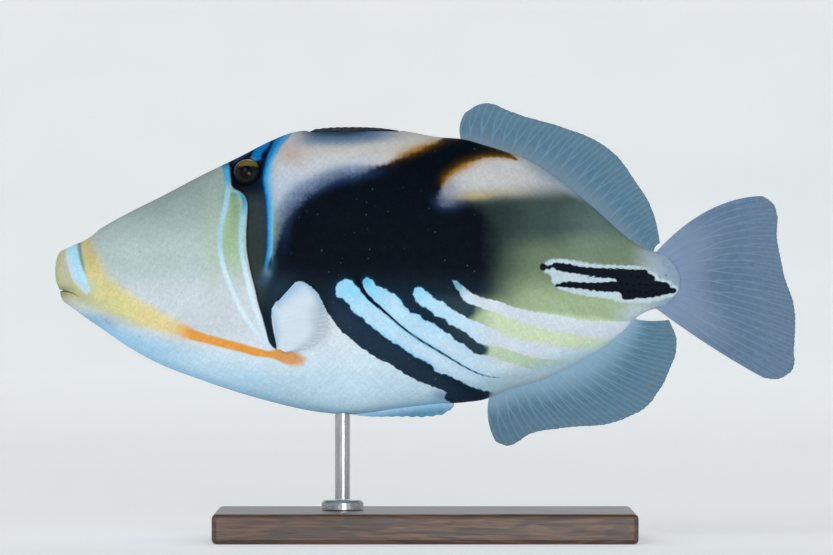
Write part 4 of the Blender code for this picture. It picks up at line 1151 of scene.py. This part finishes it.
def fin_material(name, tones, clear, solid):
    """Thin clear skin between pale rays. Clear and solid are the opacities between and on rays."""
    skin_tone, ray_tone = tones
    w = Wiring(name)
    ray = w.value("ray")
    reach = w.value("reach")
    root = w.value("root")
    cloud = w.noise(2.2, 3.0, 0.6)
    tone = w.mix(w.step(cloud, 0.3, 0.7, 0.0, 0.2), skin_tone, ray_tone)
    fading = w.step(reach, 0.2, 1.0, 0.6, 0.4)
    tone = w.mix(w.times(w.step(ray, 0.05, 0.95), fading), tone, ray_tone)
    tone = w.mix(root, tone, w.tone("root_tone"))
    w.set(Base_Color=tone)
    opacity = w.plus(w.times(w.step(ray, 0.05, 0.9), solid - clear), clear)
    opacity = w.times(opacity, w.step(reach, 0.4, 1.0, 1.0, 0.93))
    opacity = w.plus(opacity, w.step(cloud, 0.35, 0.75, -0.03, 0.03))
    opacity = w.math("MAXIMUM", opacity, root)
    w.set(Alpha=w.math("MINIMUM", opacity, 1.0))
    w.set(Roughness=w.step(cloud, 0.2, 0.8, 0.4, 0.55))
    w.set(Specular_IOR_Level=0.10)
    w.set(Normal=w.bump(w.noise(0.9, 2.0), 0.02, 0.15))
    return w.material


def eye_material():
    """A wet dark eye: black pupil, brown-black iris and a gold crescent above the pupil."""
    w = Wiring("triggerfish_eye")
    streak = w.noise(0.55, 3.0, 0.6)
    iris = w.mix(streak, *IRIS)
    gold = w.mix(streak, *EYE_GOLD)
    colour = w.mix(w.value("crescent"), iris, gold)
    colour = w.mix(w.value("pupil"), colour, PUPIL)
    colour = w.mix(w.value("edge"), colour, EYE_EDGE)
    w.set(Base_Color=colour, Roughness=w.step(streak, 0.0, 1.0, 0.10, 0.18), Specular_IOR_Level=0.12)
    return w.material


def spine_material():
    """Rough dark skin over bone."""
    w = Wiring("folded_spine_skin")
    cloud = w.noise(1.1, 4.0, 0.65)
    w.set(Base_Color=w.mix(w.step(cloud, 0.3, 0.75), *SPINE_SKIN),
          Roughness=w.step(cloud, 0.2, 0.8, 0.42, 0.65))
    w.set(Specular_IOR_Level=0.25)
    w.set(Normal=w.bump(w.noise(0.35, 3.0), 0.12, 0.8))
    return w.material


def wood_material():
    """Dark oiled wood with long grain, pores and growth rings that run along X."""
    w = Wiring("oiled_wood")
    rings = w.noise(9.0, 4.0, 0.55, w.stretched((0.10, 1.0, 1.0)))
    bands = w.math("SINE", w.times(rings, 60.0))
    fibre = w.noise(0.9, 4.0, 0.6, w.stretched((0.04, 1.0, 1.0)))
    pores = w.cells(1.1, place=w.stretched((60.0, 1400.0, 1400.0)))
    tone = w.mix(w.step(bands, -0.6, 0.9), *WOOD)
    tone = w.mix(w.step(fibre, 0.35, 0.7, 0.0, 0.55), tone, WOOD_FIBRE)
    tone = w.mix(w.step(pores, 0.22, 0.08, 0.0, 0.6), tone, WOOD_PORE)
    w.set(Base_Color=tone, Roughness=w.step(fibre, 0.3, 0.7, 0.34, 0.5))
    w.set(Coat_Weight=0.2, Coat_Roughness=0.3)
    w.set(Normal=w.bump(fibre, 0.06, 0.6, w.bump(w.step(pores, 0.22, 0.08, 1.0, 0.0), 0.05, 0.6)))
    return w.material


def metal_material(name, along):
    """Brushed steel: fine scratches drawn out along one direction."""
    w = Wiring(name)
    scratch = w.noise(0.35, 4.0, 0.7, w.stretched(along))
    smudge = w.noise(11.0, 3.0)
    w.set(Base_Color=w.mix(w.step(scratch, 0.3, 0.7), *STEEL),
          Roughness=w.plus(w.step(scratch, 0.2, 0.8, 0.2, 0.38), w.step(smudge, 0.4, 0.7, 0.0, 0.1)))
    w.set(Metallic=1.0)
    w.set(Normal=w.bump(scratch, 0.02, 0.5))
    return w.material


# The skin

def even_spread(fine, lines, weigh, count):
    """Values at equal steps along the longest of the lines, closer where the weight is greater."""
    step = np.linalg.norm(np.diff(lines, axis=0), axis=-1).max(axis=1)
    weight = weigh((fine[1:] + fine[:-1]) / 2)
    reach = np.concatenate([[0.0], np.cumsum(step * weight)])
    return np.interp(np.linspace(0.0, reach[-1], count), reach, fine)


def even_rows():
    """Stations of the rings, at equal steps along the skin and closer near the eye and lips."""
    fine = np.linspace(BODY_TABLE[0, 0], TAIL_LAST, 6000)
    lines = body_point(fine[:, None], np.array([0.0, math.pi / 2, math.pi])[None, :])
    return even_spread(
        fine, lines,
        lambda x: 1 + 0.55 * bell(x - EYE_X, 7.5) + 0.35 * fall(x, -113.0, -105.0), SKIN_ROWS)


def even_angles():
    """Angles from back to belly, at equal steps round a deep section and closer by the eye."""
    fine = np.linspace(0.0, math.pi, 4000)
    lines = body_point(DEEP_SECTION, fine[:, None])
    return even_spread(fine, lines, lambda angle: 1 + 0.5 * bell(angle - EYE_ANGLE, 0.24), HALF_RING + 1)


def eye_axis(side):
    """Where the eye sits on the skin, and the direction in which it looks."""
    origin = flank_point(EYE_X, EYE_Z, side)
    out = flank_normal(EYE_X, EYE_Z, side)
    out = out + (np.array([0.0, side, 0.0]) - out) * EYE_OUTWARD
    return origin, out / np.linalg.norm(out)


def skin_relief(points, side):
    """How far the skin stands out of the plain body, in millimetres.

    Bells across the creases, the gill slit, the fleshy root of the pectoral fin, the
    nostrils and the lids, the socket of the eye, and faint waves of the flesh.
    """
    x, y, z = points[..., 0], points[..., 1], points[..., 2]
    grid = seen_on_grid(points)
    waves = sum(high * np.sin(x / long_x + z / long_z + start)
                for high, long_x, long_z, start in FLESH_WAVES)
    height = waves * rise(np.abs(y), 1.0, 5.0)
    for line, depth, width in CREASES:
        d, along = nearest(*grid, drawn(line))
        ends = np.sin(math.pi * np.clip(along, 0.03, 0.97)) ** 0.35
        height = height - depth * bell(d, width) * ends * rise(np.abs(y), 0.5, 2.0)
    d, _ = nearest(x, z, np.asarray(PECTORAL_ROOT))
    height = height + FIN_BASE[0] * bell(d, FIN_BASE[1])
    d, _ = nearest(*grid, drawn(GILL_SLIT) + (GILL_LIP_BEHIND, 0.0))
    height = height + GILL_LIP[0] * bell(d, GILL_LIP[1])
    for nostril_x, nostril_z in NOSTRILS:
        r = np.hypot(x - nostril_x, z - nostril_z)
        height = height + NOSTRIL_RIM[0] * bell(r - NOSTRIL_RADIUS, NOSTRIL_RIM[1])
        height = height - NOSTRIL_PIT[0] * bell(r, NOSTRIL_PIT[1])
    origin, out = eye_axis(side)
    offset = points - origin
    deep = offset @ out
    r = np.linalg.norm(offset - deep[..., None] * out, axis=-1)
    near = np.where(np.sign(y) == side, 1.0, 0.0) * fall(np.abs(deep), 6.0, 9.0)
    height = height + near * LID[0] * bell(r - LID_RADIUS, LID[1])
    return height - near * SOCKET_DEPTH * fall(r, *SOCKET_WALL)


def scale_domes(along, around):
    """One small dome a scale, in crossed rows: the squared product of two slanted cosines."""
    turn = math.pi / SCALE_PITCH
    return SCALE_DOME * (np.cos(turn * (along + around)) * np.cos(turn * (along - around))) ** 2


def groove_depth(points):
    """How deep the groove of the back is under each place, a bell across that narrows rearwards."""
    x, y, z = points[..., 0], points[..., 1], points[..., 2]
    t = np.clip((x - GROOVE_START) / (GROOVE_END - GROOVE_START), 0.0, 1.0)
    inside = rise(x, GROOVE_START, GROOVE_START + 7.0) * fall(x, GROOVE_END - 3.0, GROOVE_END)
    inside = inside * rise(z - back_height(x), -6.0, -4.0)
    return between(GROOVE_DEPTHS, t) * inside * bell(y, 0.8 * between(GROOVE_HALVES, t))


def outward_normals(body):
    """Unit normals of the rings, turned away from the middle of the body."""
    across = np.roll(body, -1, axis=1) - np.roll(body, 1, axis=1)
    normal = np.cross(np.gradient(body, axis=0), across)
    normal /= np.linalg.norm(normal, axis=-1, keepdims=True) + 1e-12
    outward = np.stack([0 * body[..., 0], body[..., 1], body[..., 2] - 85.0], axis=-1)
    return normal * np.sign((normal * outward).sum(axis=-1).mean())


def throat_rings(ring, angle):
    """Rings that turn in between the lips, each flatter than the last, down to the slit."""
    middle = (ring[0, 2] + ring[HALF_RING, 2]) / 2
    corner_z = ring[HALF_RING // 2, 2]
    slit_z = corner_z + (middle - corner_z) * np.abs(np.cos(angle))
    inward = np.linspace(1.0, 0.0, THROAT_ROWS, endpoint=False)[:, None]
    rings = np.stack([ring[:, 0] + MOUTH_DEPTH * inward, ring[:, 1] * (1 - 0.18 * inward),
                      ring[:, 2] + (slit_z - ring[:, 2]) * inward ** 1.5], axis=-1)
    return rings, inward


def skin_distances(body, side):
    """How far each place is along the flank from the lips, and round its ring from the back."""
    across = np.linalg.norm(np.diff(body, axis=1, append=body[:, :1]), axis=-1)
    around = np.cumsum(across, axis=1) - across
    around = np.where(side > 0, around[:, -1:] + across[:, -1:] - around, around)
    along = np.linalg.norm(np.diff(body[:, HALF_RING // 2], axis=0), axis=-1)
    return np.concatenate([[0.0], np.cumsum(along)])[:, None] + 0 * around, around


def skin_quads(rows, count):
    """Quads of all rings, the slit of the mouth and the wedge of the tail stalk zipped up."""
    numbers = np.arange(rows * count).reshape(rows, count)
    k = np.arange(count)
    numbers[0] = np.minimum(k, (HALF_RING - k) % count)
    numbers[-1] = (rows - 1) * count + np.minimum(k, (count - k) % count)
    return numbers.reshape(-1)[grid_quads(rows, count, True)]


def build_skin(material):
    """One closed skin from the slit of the mouth to the end of the tail stalk.

    Rings of body_point follow one another along the fish. The first ones turn in between
    the lips and zip up, and the last two close the wedge of the tail stalk.
    """
    half = even_angles()
    angle = np.concatenate([half, half[-2:0:-1]])
    side = np.concatenate([-np.ones(HALF_RING + 1), np.ones(HALF_RING - 1)])
    stations = even_rows()[:, None]
    shift = (tail_end(angle) - TAIL_LAST)[None, :] * rise(stations, 62.0, TAIL_LAST)
    plain = body_point(stations + shift, angle[None, :])
    plain[..., 1] *= -side
    throat, inward = throat_rings(plain[0], angle)
    cap = np.stack([plain[-1] * (1, keep, 1) + (out, 0, 0) for out, keep in TAIL_CAP])
    along, around = skin_distances(plain, side)
    domes = scale_domes(along, around) * rise(stations, SNOUT_PLAIN, SNOUT_PLAIN + 5.0)
    relief = skin_relief(plain, -1) * (side < 0) + skin_relief(plain, 1) * (side > 0)
    relief = relief + domes * rise(np.abs(plain[..., 1]), 0.5, 3.0)
    relief = relief * rise(stations, SNOUT_PLAIN, SNOUT_PLAIN + 1.5)
    body = plain + outward_normals(plain) * relief[..., None]
    body[..., 2] -= groove_depth(plain)

    def whole(rows):
        """Rows of the body, with the first and last repeated for the throat and the cap."""
        first = np.repeat(rows[:1], len(throat), axis=0)
        return np.concatenate([first, rows, np.repeat(rows[-1:], len(cap), axis=0)])

    points = np.concatenate([throat, body, cap])
    floats, colours = painted(whole(plain))
    floats["throat"][:len(throat)] = inward
    colours["flow"] = whole(np.stack([along, around, 0 * along], axis=-1))
    quads = skin_quads(len(points), len(angle))
    return make_piece("fish_skin", points, quads, material, floats, colours)


# Eyes, spines and fins

def build_eye(name, side, material):
    """A flattened ball with a clear swelling over the pupil.

    Latitude runs from the pole that looks out to the one inside the head.
    """
    rows, count = 40, 72
    lat = np.linspace(0.0, math.pi, rows)[:, None]
    turn = np.linspace(0.0, 2 * math.pi, count, endpoint=False)[None, :]
    origin, out = eye_axis(side)
    ahead = np.array([1.0, 0.0, 0.0])
    ahead = ahead - (ahead @ out) * out
    ahead /= np.linalg.norm(ahead)
    up = np.cross(out, ahead)
    up = up * np.sign(up[2])
    r = EYE_RADIUS * np.sin(lat)
    bulge = CLEAR_SWELLING[0] * bell(r, CLEAR_SWELLING[1]) * (lat < math.pi / 2)
    depth = EYE_HALF_DEPTH * np.cos(lat) + bulge - EYE_SINK
    px = r * np.cos(turn)
    pz = r * np.sin(turn)
    points = origin + px[..., None] * ahead + pz[..., None] * up + (depth + 0 * turn)[..., None] * out
    front = (lat < math.pi / 2) * np.ones_like(turn)
    ring = r + 0 * turn
    crescent = front * fall(ring, *CRESCENT_ROUND) * rise(pz, *CRESCENT_LOW)
    floats = {
        "crescent": crescent * fall(np.abs(px - CRESCENT_ASIDE), *CRESCENT_SIDES),
        "pupil": front * fall(np.hypot(px, pz + PUPIL_DROP), *PUPIL_EDGE),
        "edge": EYE_EDGE_SHARE * rise(ring, *EYE_EDGE_FROM),
    }
    return make_piece(name, points, pole_quads(rows, count), material, floats)


def tube_shape(centres, half_widths, half_heights, sides):
    """A closed tube along X with elliptical sections, its ends drawn to points."""
    turn = np.linspace(0.0, 2 * math.pi, sides, endpoint=False)[None, :]
    w = np.asarray(half_widths)[:, None]
    h = np.asarray(half_heights)[:, None]
    rings = np.stack([np.broadcast_to(centres[:, :1], w.shape) + 0 * turn * w,
                      centres[:, 1:2] + w * np.cos(turn), centres[:, 2:] + h * np.sin(turn)], axis=-1)
    first = np.repeat(centres[:1] - (half_widths[0] * 0.5, 0, 0), sides, axis=0)[None]
    last = np.repeat(centres[-1:] + (half_widths[-1] * 0.9, 0, 0), sides, axis=0)[None]
    points = np.concatenate([first, rings, last])
    return points.reshape(-1, 3), pole_quads(len(points), sides)


def build_folded_spines(material):
    """Three tapered, rough spines that lie in the groove of the back, and the skin between."""
    shapes = []
    for start, end, aside, radius, arch in SPINES:
        t = np.linspace(0.0, 1.0, 120)
        x = start + (end - start) * t
        along = (x - SPINES[0][0]) / (SPINES[0][1] - SPINES[0][0])
        z = back_height(x) - 1.5 * (1 - along) - 0.45 * along + arch * np.sin(math.pi * t)
        size = (radius * (1 - t) + 0.35 * t) * np.sqrt(np.clip(t * 14, 0.15, 1.0))
        rough = 1 + 0.09 * np.sin(t * (end - start) * 2.6) * (1 - 0.5 * t)
        centres = np.stack([x, aside * (1 - 0.6 * t), z], axis=-1)
        shapes.append(tube_shape(centres, size * 0.9 * rough, size * rough, 20))
    t = np.linspace(0.0, 1.0, 60)
    x = -38.0 + 29.0 * t
    z = back_height(x) - 1.5 * (1 - t) - 0.75 * t + 0.12 * np.sin(t * 40)
    centres = np.stack([x, 0.25 * np.sin(9 * t), z], axis=-1)
    shapes.append(tube_shape(centres, 1.7 * (1 - t) + 0.5 * t, 0.85 * (1 - t) + 0.45 * t, 18))
    points, quads = merged(shapes)
    return make_piece("folded_spines", points, quads, material)


def hooked_spine(origin, out, size):
    """A cone on the skin whose point leans to the head: rings that shrink, rise and slide ahead."""
    turn = np.linspace(0.0, 2 * math.pi, SPINE_SIDES, endpoint=False)[None, :]
    t = np.linspace(0.0, 1.0, SPINE_ROWS)[:, None]
    ahead = np.array([1.0, 0.0, 0.0]) - out * out[0]
    ahead /= np.linalg.norm(ahead)
    up = np.cross(out, ahead)
    r = 0.5 * size * (1 - t) ** 0.8
    lift = 1.35 * size * t - SPINE_ROOT_SINK
    lean = -0.95 * size * t ** 1.7
    rings = (origin + (r * np.cos(turn) + lean)[..., None] * ahead
             + (r * np.sin(turn))[..., None] * up + (lift + 0 * turn)[..., None] * out)
    points = np.concatenate([rings.reshape(-1, 3), (origin - SPINE_ROOT_SINK * out)[None]])
    k = np.arange(SPINE_SIDES)
    base = np.stack([np.full(SPINE_SIDES, len(points) - 1), (k + 1) % SPINE_SIDES, k, k], axis=-1)
    return points, np.concatenate([pole_quads(SPINE_ROWS, SPINE_SIDES, first=False), base])


def build_tail_spines(material):
    """Rows of short hooked spines on both sides of the tail, in the tone of the skin under each."""
    shapes, roots = [], []
    for side in (-1, 1):
        for first_x, last_x, row_z, count in TAIL_SPINE_ROWS:
            for x in np.linspace(first_x, last_x, count):
                size = rng.uniform(0.75, 1.1)
                z = row_z + rng.uniform(-0.45, 0.45)
                origin = flank_point(x, z, side)
                shapes.append(hooked_spine(origin, flank_normal(x, z, side), size))
                roots.append(np.broadcast_to(origin, shapes[-1][0].shape))
    points, quads = merged(shapes)
    floats, colours = painted(np.concatenate(roots))
    colours["flow"] = np.concatenate(roots)
    return make_piece("tail_spines", points, quads, material, floats, colours)


def crest_height(f, v, forks, width):
    """How far a place is on a ray: 1 on its crest, 0 between rays.

    F runs from -0.5 to 0.5 across one ray's share of the fin. Each fork (from, to, spread)
    parts every branch in two between those reaches along the ray.
    """
    branches = [0 * f * v]
    for start, end, spread in forks:
        apart = spread * rise(v, start, end)
        branches = [b + sign * apart for b in branches for sign in (-1, 1)]
    return np.maximum.reduce([bell(f - b, width) for b in branches])


def sheet_quads(rows, columns):
    """Both faces of a sheet and the strip round its rim, as quads."""
    total = rows * columns
    face = grid_quads(rows, columns, False)
    border = np.concatenate([np.arange(columns), np.arange(1, rows) * columns + columns - 1,
                             (rows - 1) * columns + np.arange(columns - 2, -1, -1),
                             np.arange(rows - 2, 0, -1) * columns])
    after = np.roll(border, -1)
    strip = np.stack([border, border + total, after + total, after], axis=-1)
    return np.concatenate([face, face[:, ::-1] + total, strip])


def two_faces(middle, half):
    """Both faces of a thin sheet, half of its thickness to either side of its middle."""
    shift = np.zeros_like(middle)
    shift[..., 1] = half
    return np.stack([middle - shift, middle + shift])


def fan(root, rim, bow, v, grow):
    """Points in x and z between the root and the rim, pushed aside by bow times 4 v (1 - v)."""
    flat = (1 - grow)[..., None] * root[None] + grow[..., None] * rim[None]
    return flat + (4 * v * (1 - v))[..., None] * bow[None]


def fin_sheet(name, middle, half, material, v, ray, root, root_tone):
    """A thin closed sheet round a grid of middle points, with what its material reads."""
    rows, columns = middle.shape[:2]
    one = np.ones((rows, columns))
    floats = {"ray": ray, "reach": v * one, "root": root * one}
    floats = {key: np.concatenate([value, value]) for key, value in floats.items()}
    tone = np.broadcast_to(root_tone, (rows, columns, 3))
    colours = {"root_tone": np.concatenate([tone, tone])}
    quads = sheet_quads(rows, columns)
    return make_piece(name, two_faces(middle, half), quads, material, floats, colours)


def fin_grid(rays, parts, rows):
    """U along the fin, v from its root to its rim, the place across a ray and the ray's number."""
    columns = (rays - 1) * parts + 1
    u = np.linspace(0.0, 1.0, columns)[None, :]
    v = np.linspace(0.0, 1.0, rows)[:, None]
    place = u * (rays - 1)
    f = place - np.round(place)
    return u, v, f, np.round(place).astype(int)


def upright_fin(name, root, rim, bow, rays, sway, material, tone, opaque):
    """A fin in the fish's middle plane, its rays raised on both faces.

    A point at u along the fin and v up its ray lies between the root and the rim, pushed
    aside by a bow times 4 v (1 - v). The bow is (ahead at the front, up at the rear). Waves
    along the rim sway the fin: (height, how fast they follow one another, start). Between
    rays the rim is drawn in a little.
    """
    u, v, f, number = fin_grid(rays, 22, 56)
    ray = crest_height(f, v, ONE_FORK, 0.10 - 0.02 * v)
    long = 1 + (rng.uniform(-0.008, 0.006, rays)[number] * rise(v, 0.5, 1.0)
                - 0.006 * (1 - ray) * rise(v, 0.9, 1.0))
    grow = v * long
    along = u[0]
    aside = np.stack([-bow[0] * (1 - along) ** 3 - 0.6 * along, bow[1] * along], axis=-1)
    edge = even_steps(rim, along + 0.3 * along * (1 - along))
    flat = fan(even_steps(root, along), edge, aside, v, grow)
    wave = sway[0] * v ** 1.6 * np.sin(sway[1] * u + sway[2])
    middle = np.stack([flat[..., 0], wave + 0 * grow, flat[..., 1]], axis=-1)
    half = 0.5 * between((between(FIN_SKIN, v), between(FIN_RIDGE, v)), ray) + 0.5 * (1 - v) ** 10
    solid = 0.95 * fall(v, opaque - 0.16, opaque + 0.42)
    return fin_sheet(name, middle, half, material, v, ray, solid, linear(tone))


def root_line(span, height, inward):
    """Root points of an upright fin, sunk in the back or the belly."""
    x = np.linspace(span[0], span[1], 90)
    return np.stack([x, height(x) + inward], axis=-1)


def build_second_dorsal(material):
    root = root_line(DORSAL_ROOT, back_height, -FIN_ROOT_SINK)
    return upright_fin("second_dorsal_fin_fine", root, DORSAL_RIM, DORSAL_BOW, DORSAL_RAYS,
                       DORSAL_SWAY, material, DORSAL_FOOT, DORSAL_OPAQUE)


def build_anal(material):
    root = root_line(ANAL_ROOT, belly_height, FIN_ROOT_SINK)
    return upright_fin("anal_fin_fine", root, ANAL_RIM, ANAL_BOW, ANAL_RAYS,
                       ANAL_SWAY, material, ANAL_FOOT, ANAL_OPAQUE)


def build_caudal(material):
    """The tail fin: its rays fan out from the wedge of the stalk and fork twice."""
    u, v, f, number = fin_grid(CAUDAL_RAYS, 24, 70)
    ray = crest_height(f, v, CAUDAL_FORKS, 0.065)
    angle = np.linspace(0.0, math.pi, 60)
    wedge = body_point(tail_end(angle), angle)[:, (0, 2)] - (1.6, 0.0)
    root = even_steps(wedge, u[0])
    rim = even_steps(CAUDAL_RIM, u[0])
    grow = v * (1 + rng.uniform(-0.006, 0.005, CAUDAL_RAYS)[number] * rise(v, 0.6, 1.0)
                - 0.004 * (1 - ray) * rise(v, 0.93, 1.0))
    flat = fan(root, rim, np.stack([-0.8 + 1.2 * u[0], 4.3 - 5.5 * u[0]], axis=-1), v, grow)
    pleat = 0.9 * v ** 1.4 * np.sin(15.0 * u) + 0.8 * v * rise(u, 0.4, 0.55)
    middle = np.stack([flat[..., 0], pleat + 0 * grow, flat[..., 1]], axis=-1)
    edge = np.maximum(bell(u, 0.012), bell(1 - u, 0.012))
    crest = np.maximum(ray * (1 - 0.35 * v), edge)
    skin = 1.9 * (1 - v) ** 6 + 0.42 - 0.2 * v
    half = 0.5 * (skin + 0.30 * (1 - 0.5 * v) * crest)
    solid = 0.95 * fall(v, 0.05, 0.55 + 0.15 * np.sin(9.0 * u))
    return fin_sheet("caudal_fin_fine", middle, half, material, v, crest, solid, linear(TAIL_FOOT))


def build_pectoral(name, side, material):
    """A rounded fan that lies back along the flank and stands off it towards its rim."""
    u, v, f, number = fin_grid(PECTORAL_RAYS, 12, 40)
    ray = crest_height(f, v, PECTORAL_FORK, 0.09)
    root = even_steps(PECTORAL_ROOT, u[0])
    rim = even_steps(PECTORAL_RIM, u[0])
    grow = v * (1 - 0.02 * (1 - ray) * rise(v, 0.9, 1.0))
    flat = fan(root, rim, np.stack([0.4 * (1 - u[0]), 0.5 - 1.2 * u[0]], axis=-1), v, grow)
    half = 0.5 * (0.40 + (0.18 - 0.08 * v) * ray) + 0.35 * (1 - v) ** 4
    middle = flank_point(flat[..., 0], flat[..., 1], side)
    lift = 0.5 + PECTORAL_LIFT * v ** 1.3 + 0.25 * v * np.sin(20.0 * u)
    middle[..., 1] += side * lift
    solid = 1.0 - 0.9 * rise(v, 0.55, 1.0) * rise(u, 0.22, 0.5)
    edge = np.maximum(0.9 * bell(u, 0.12) * rise(v, 0.0, 0.2),
                      0.85 * rise(v, 0.80, 0.98) * fall(u, 0.4, 0.6))
    tone = layered(FIN_WHITE, (FIN_BLUE, np.maximum(edge, 0.6 * bell(v, 0.1))))
    return fin_sheet(name, middle, half, material, v, ray, solid, tone)


def build_flap(material):
    """The keel under the belly: a thin ridge of rough skin that ends in a short free flap."""
    u, v, f, _ = fin_grid(10, 10, 26)
    ray = crest_height(f, v, (), 0.2)
    start = FLAP_ROOT[0] - KEEL_LENGTH
    x = np.linspace(start, FLAP_ROOT[1], 90)
    root = even_steps(np.stack([x, belly_height(x) + 2.2], axis=-1), u[0])
    rim = even_steps(((start, float(belly_height(start)) + 0.3),) + FLAP_RIM, u[0])
    rim[:, 1] += 0.18 * np.sin(u[0] * 70.0) * rise(u[0], 0.2, 0.6)
    flat = fan(root, rim, np.zeros_like(root), v, v)
    middle = np.stack([flat[..., 0], 0 * flat[..., 0], flat[..., 1]], axis=-1)
    points = two_faces(middle, 0.5 * (0.5 + 2.6 * (1 - v) ** 1.5 + 0.35 * ray * v))
    floats, colours = painted(points)
    colours["flow"] = np.stack([points[..., 0], points[..., 2], 0 * points[..., 0]], axis=-1)
    return make_piece("belly_flap", points, sheet_quads(*middle.shape[:2]), material, floats, colours)


# Stage

def paper_material():
    """Pale matt paper, a little brighter of itself far from the model."""
    w = Wiring("pale_paper")
    w.set(Base_Color=w.mix(w.step(w.noise(160.0, 3.0), 0.3, 0.7), *PAPER), Roughness=0.9)
    w.set(Normal=w.bump(w.noise(2.0, 3.0), 0.05, 0.3))
    reach = w.add("ShaderNodeVectorMath", operation="LENGTH")
    w.plug(reach.inputs[0], w.place)
    w.set(Emission_Color=PAPER_GLOW,
          Emission_Strength=w.step(reach.outputs["Value"], 0.2, 4.2, 0.36, 0.52))
    return w.material


def build_stage():
    """A round pale floor that curves up into a wall far from the model.

    The profile is a flat disc, a quarter circle and an upright wall, turned about Z.
    """
    radius, bend, wall, around = 3400.0, 1500.0, 1200.0, 96
    quarter = np.linspace(0.0, math.pi / 2, 24)
    r = np.concatenate([[0.0, 300.0, 1500.0], radius + bend * np.sin(quarter), [radius + bend]])
    z = np.concatenate([[0.0, 0.0, 0.0], bend * (1 - np.cos(quarter)), [bend + wall]])
    turn = np.linspace(0.0, 2 * math.pi, around, endpoint=False)
    points = np.stack([r[:, None] * np.cos(turn), r[:, None] * np.sin(turn),
                       z[:, None] + 0 * turn], axis=-1)
    points, quads, _ = in_use(points, pole_quads(len(r), around, last=False))
    add_mesh("pale_floor", points, quads[:, ::-1], paper_material())


def add_light(name, place, target, size, power):
    data = bpy.data.lights.new(name, "AREA")
    data.shape = "DISK"
    data.size = size
    data.energy = power
    light = add_object(name, data)
    light.location = place
    light.rotation_euler = (Vector(target) - Vector(place)).to_track_quat("-Z", "Y").to_euler()


def add_lights():
    middle = (0.0, 0.0, 0.09)
    add_light("key_light", (-0.9, -1.7, 1.5), middle, 1.4, 10.5)
    add_light("fill_light", (0.4, -2.5, 0.22), middle, 1.0, 25.0)
    add_light("top_light", (0.1, 0.5, 1.9), middle, 1.6, 3.0)
    add_light("back_light", (0.3, 2.4, 2.2), middle, 1.4, 9.0)
    world = bpy.data.worlds.new("pale_room")
    world.use_nodes = True
    glow = world.node_tree.nodes["Background"].inputs
    glow["Color"].default_value = (0.86, 0.9, 0.93, 1.0)
    glow["Strength"].default_value = 0.22
    bpy.context.scene.world = world
    bpy.context.scene.view_settings.view_transform = "Standard"


def add_camera():
    """A level camera square to the left flank, framed as the picture is."""
    distance = VIEW_DISTANCE * MM
    data = bpy.data.cameras.new("flank_camera")
    data.sensor_width = 36.0
    data.lens = data.sensor_width * distance / (VIEW_WIDTH * GRID_STEP * MM)
    data.clip_end = 50.0
    camera = add_object("flank_camera", data)
    camera.location = ((VIEW_WIDTH / 2 - GRID_X) * GRID_STEP * MM, -distance,
                       (GRID_Y - VIEW_HEIGHT / 2) * GRID_STEP * MM)
    camera.rotation_euler = (math.pi / 2, 0.0, 0.0)
    bpy.context.scene.camera = camera


def dress_stand():
    wood = wood_material()
    rod = metal_material("brushed_rod", (1.0, 1.0, 0.03))
    collar = metal_material("brushed_collar", (0.25, 0.25, 1.0))
    for node, finish in (("stand_base", wood), ("stand_rod", rod), ("stand_collar", collar)):
        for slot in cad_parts[node].material_slots:
            slot.material = finish


def main():
    skin = skin_material()
    clear_fin = fin_material("clear_fin", CLEAR_FIN, 0.77, 0.87)
    tail_fin = fin_material("tail_fin", TAIL_FIN, 0.76, 0.88)
    white_fin = fin_material("white_fin", PECTORAL_FIN, 0.5, 0.6)
    eye = eye_material()
    spine = spine_material()
    pieces = (
        (build_skin(skin), "skin", ("head", "torso", "tail")),
        (build_flap(skin), "skin", ("pelvic_flap",)),
        (build_eye("left_eye", -1, eye), "eye", ("eye_left",)),
        (build_eye("right_eye", 1, eye), "eye", ("eye_right",)),
        (build_folded_spines(spine), "folded_spines", ("first_dorsal_fin",)),
        (build_tail_spines(skin), "skin", ()),
        (build_second_dorsal(clear_fin), "fin_membrane", ("second_dorsal_fin",)),
        (build_anal(clear_fin), "fin_membrane", ("anal_fin",)),
        (build_caudal(tail_fin), "fin_membrane", ("caudal_fin",)),
        (build_pectoral("left_pectoral_fin", -1, white_fin), "pectoral_membrane",
         ("pectoral_fin_left",)),
        (build_pectoral("right_pectoral_fin", 1, white_fin), "pectoral_membrane",
         ("pectoral_fin_right",)),
    )
    for piece, slot, nodes in pieces:
        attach(piece, "root")
        if nodes:
            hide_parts(*nodes)
    dress_stand()
    build_stage()
    add_lights()
    add_camera()


main()
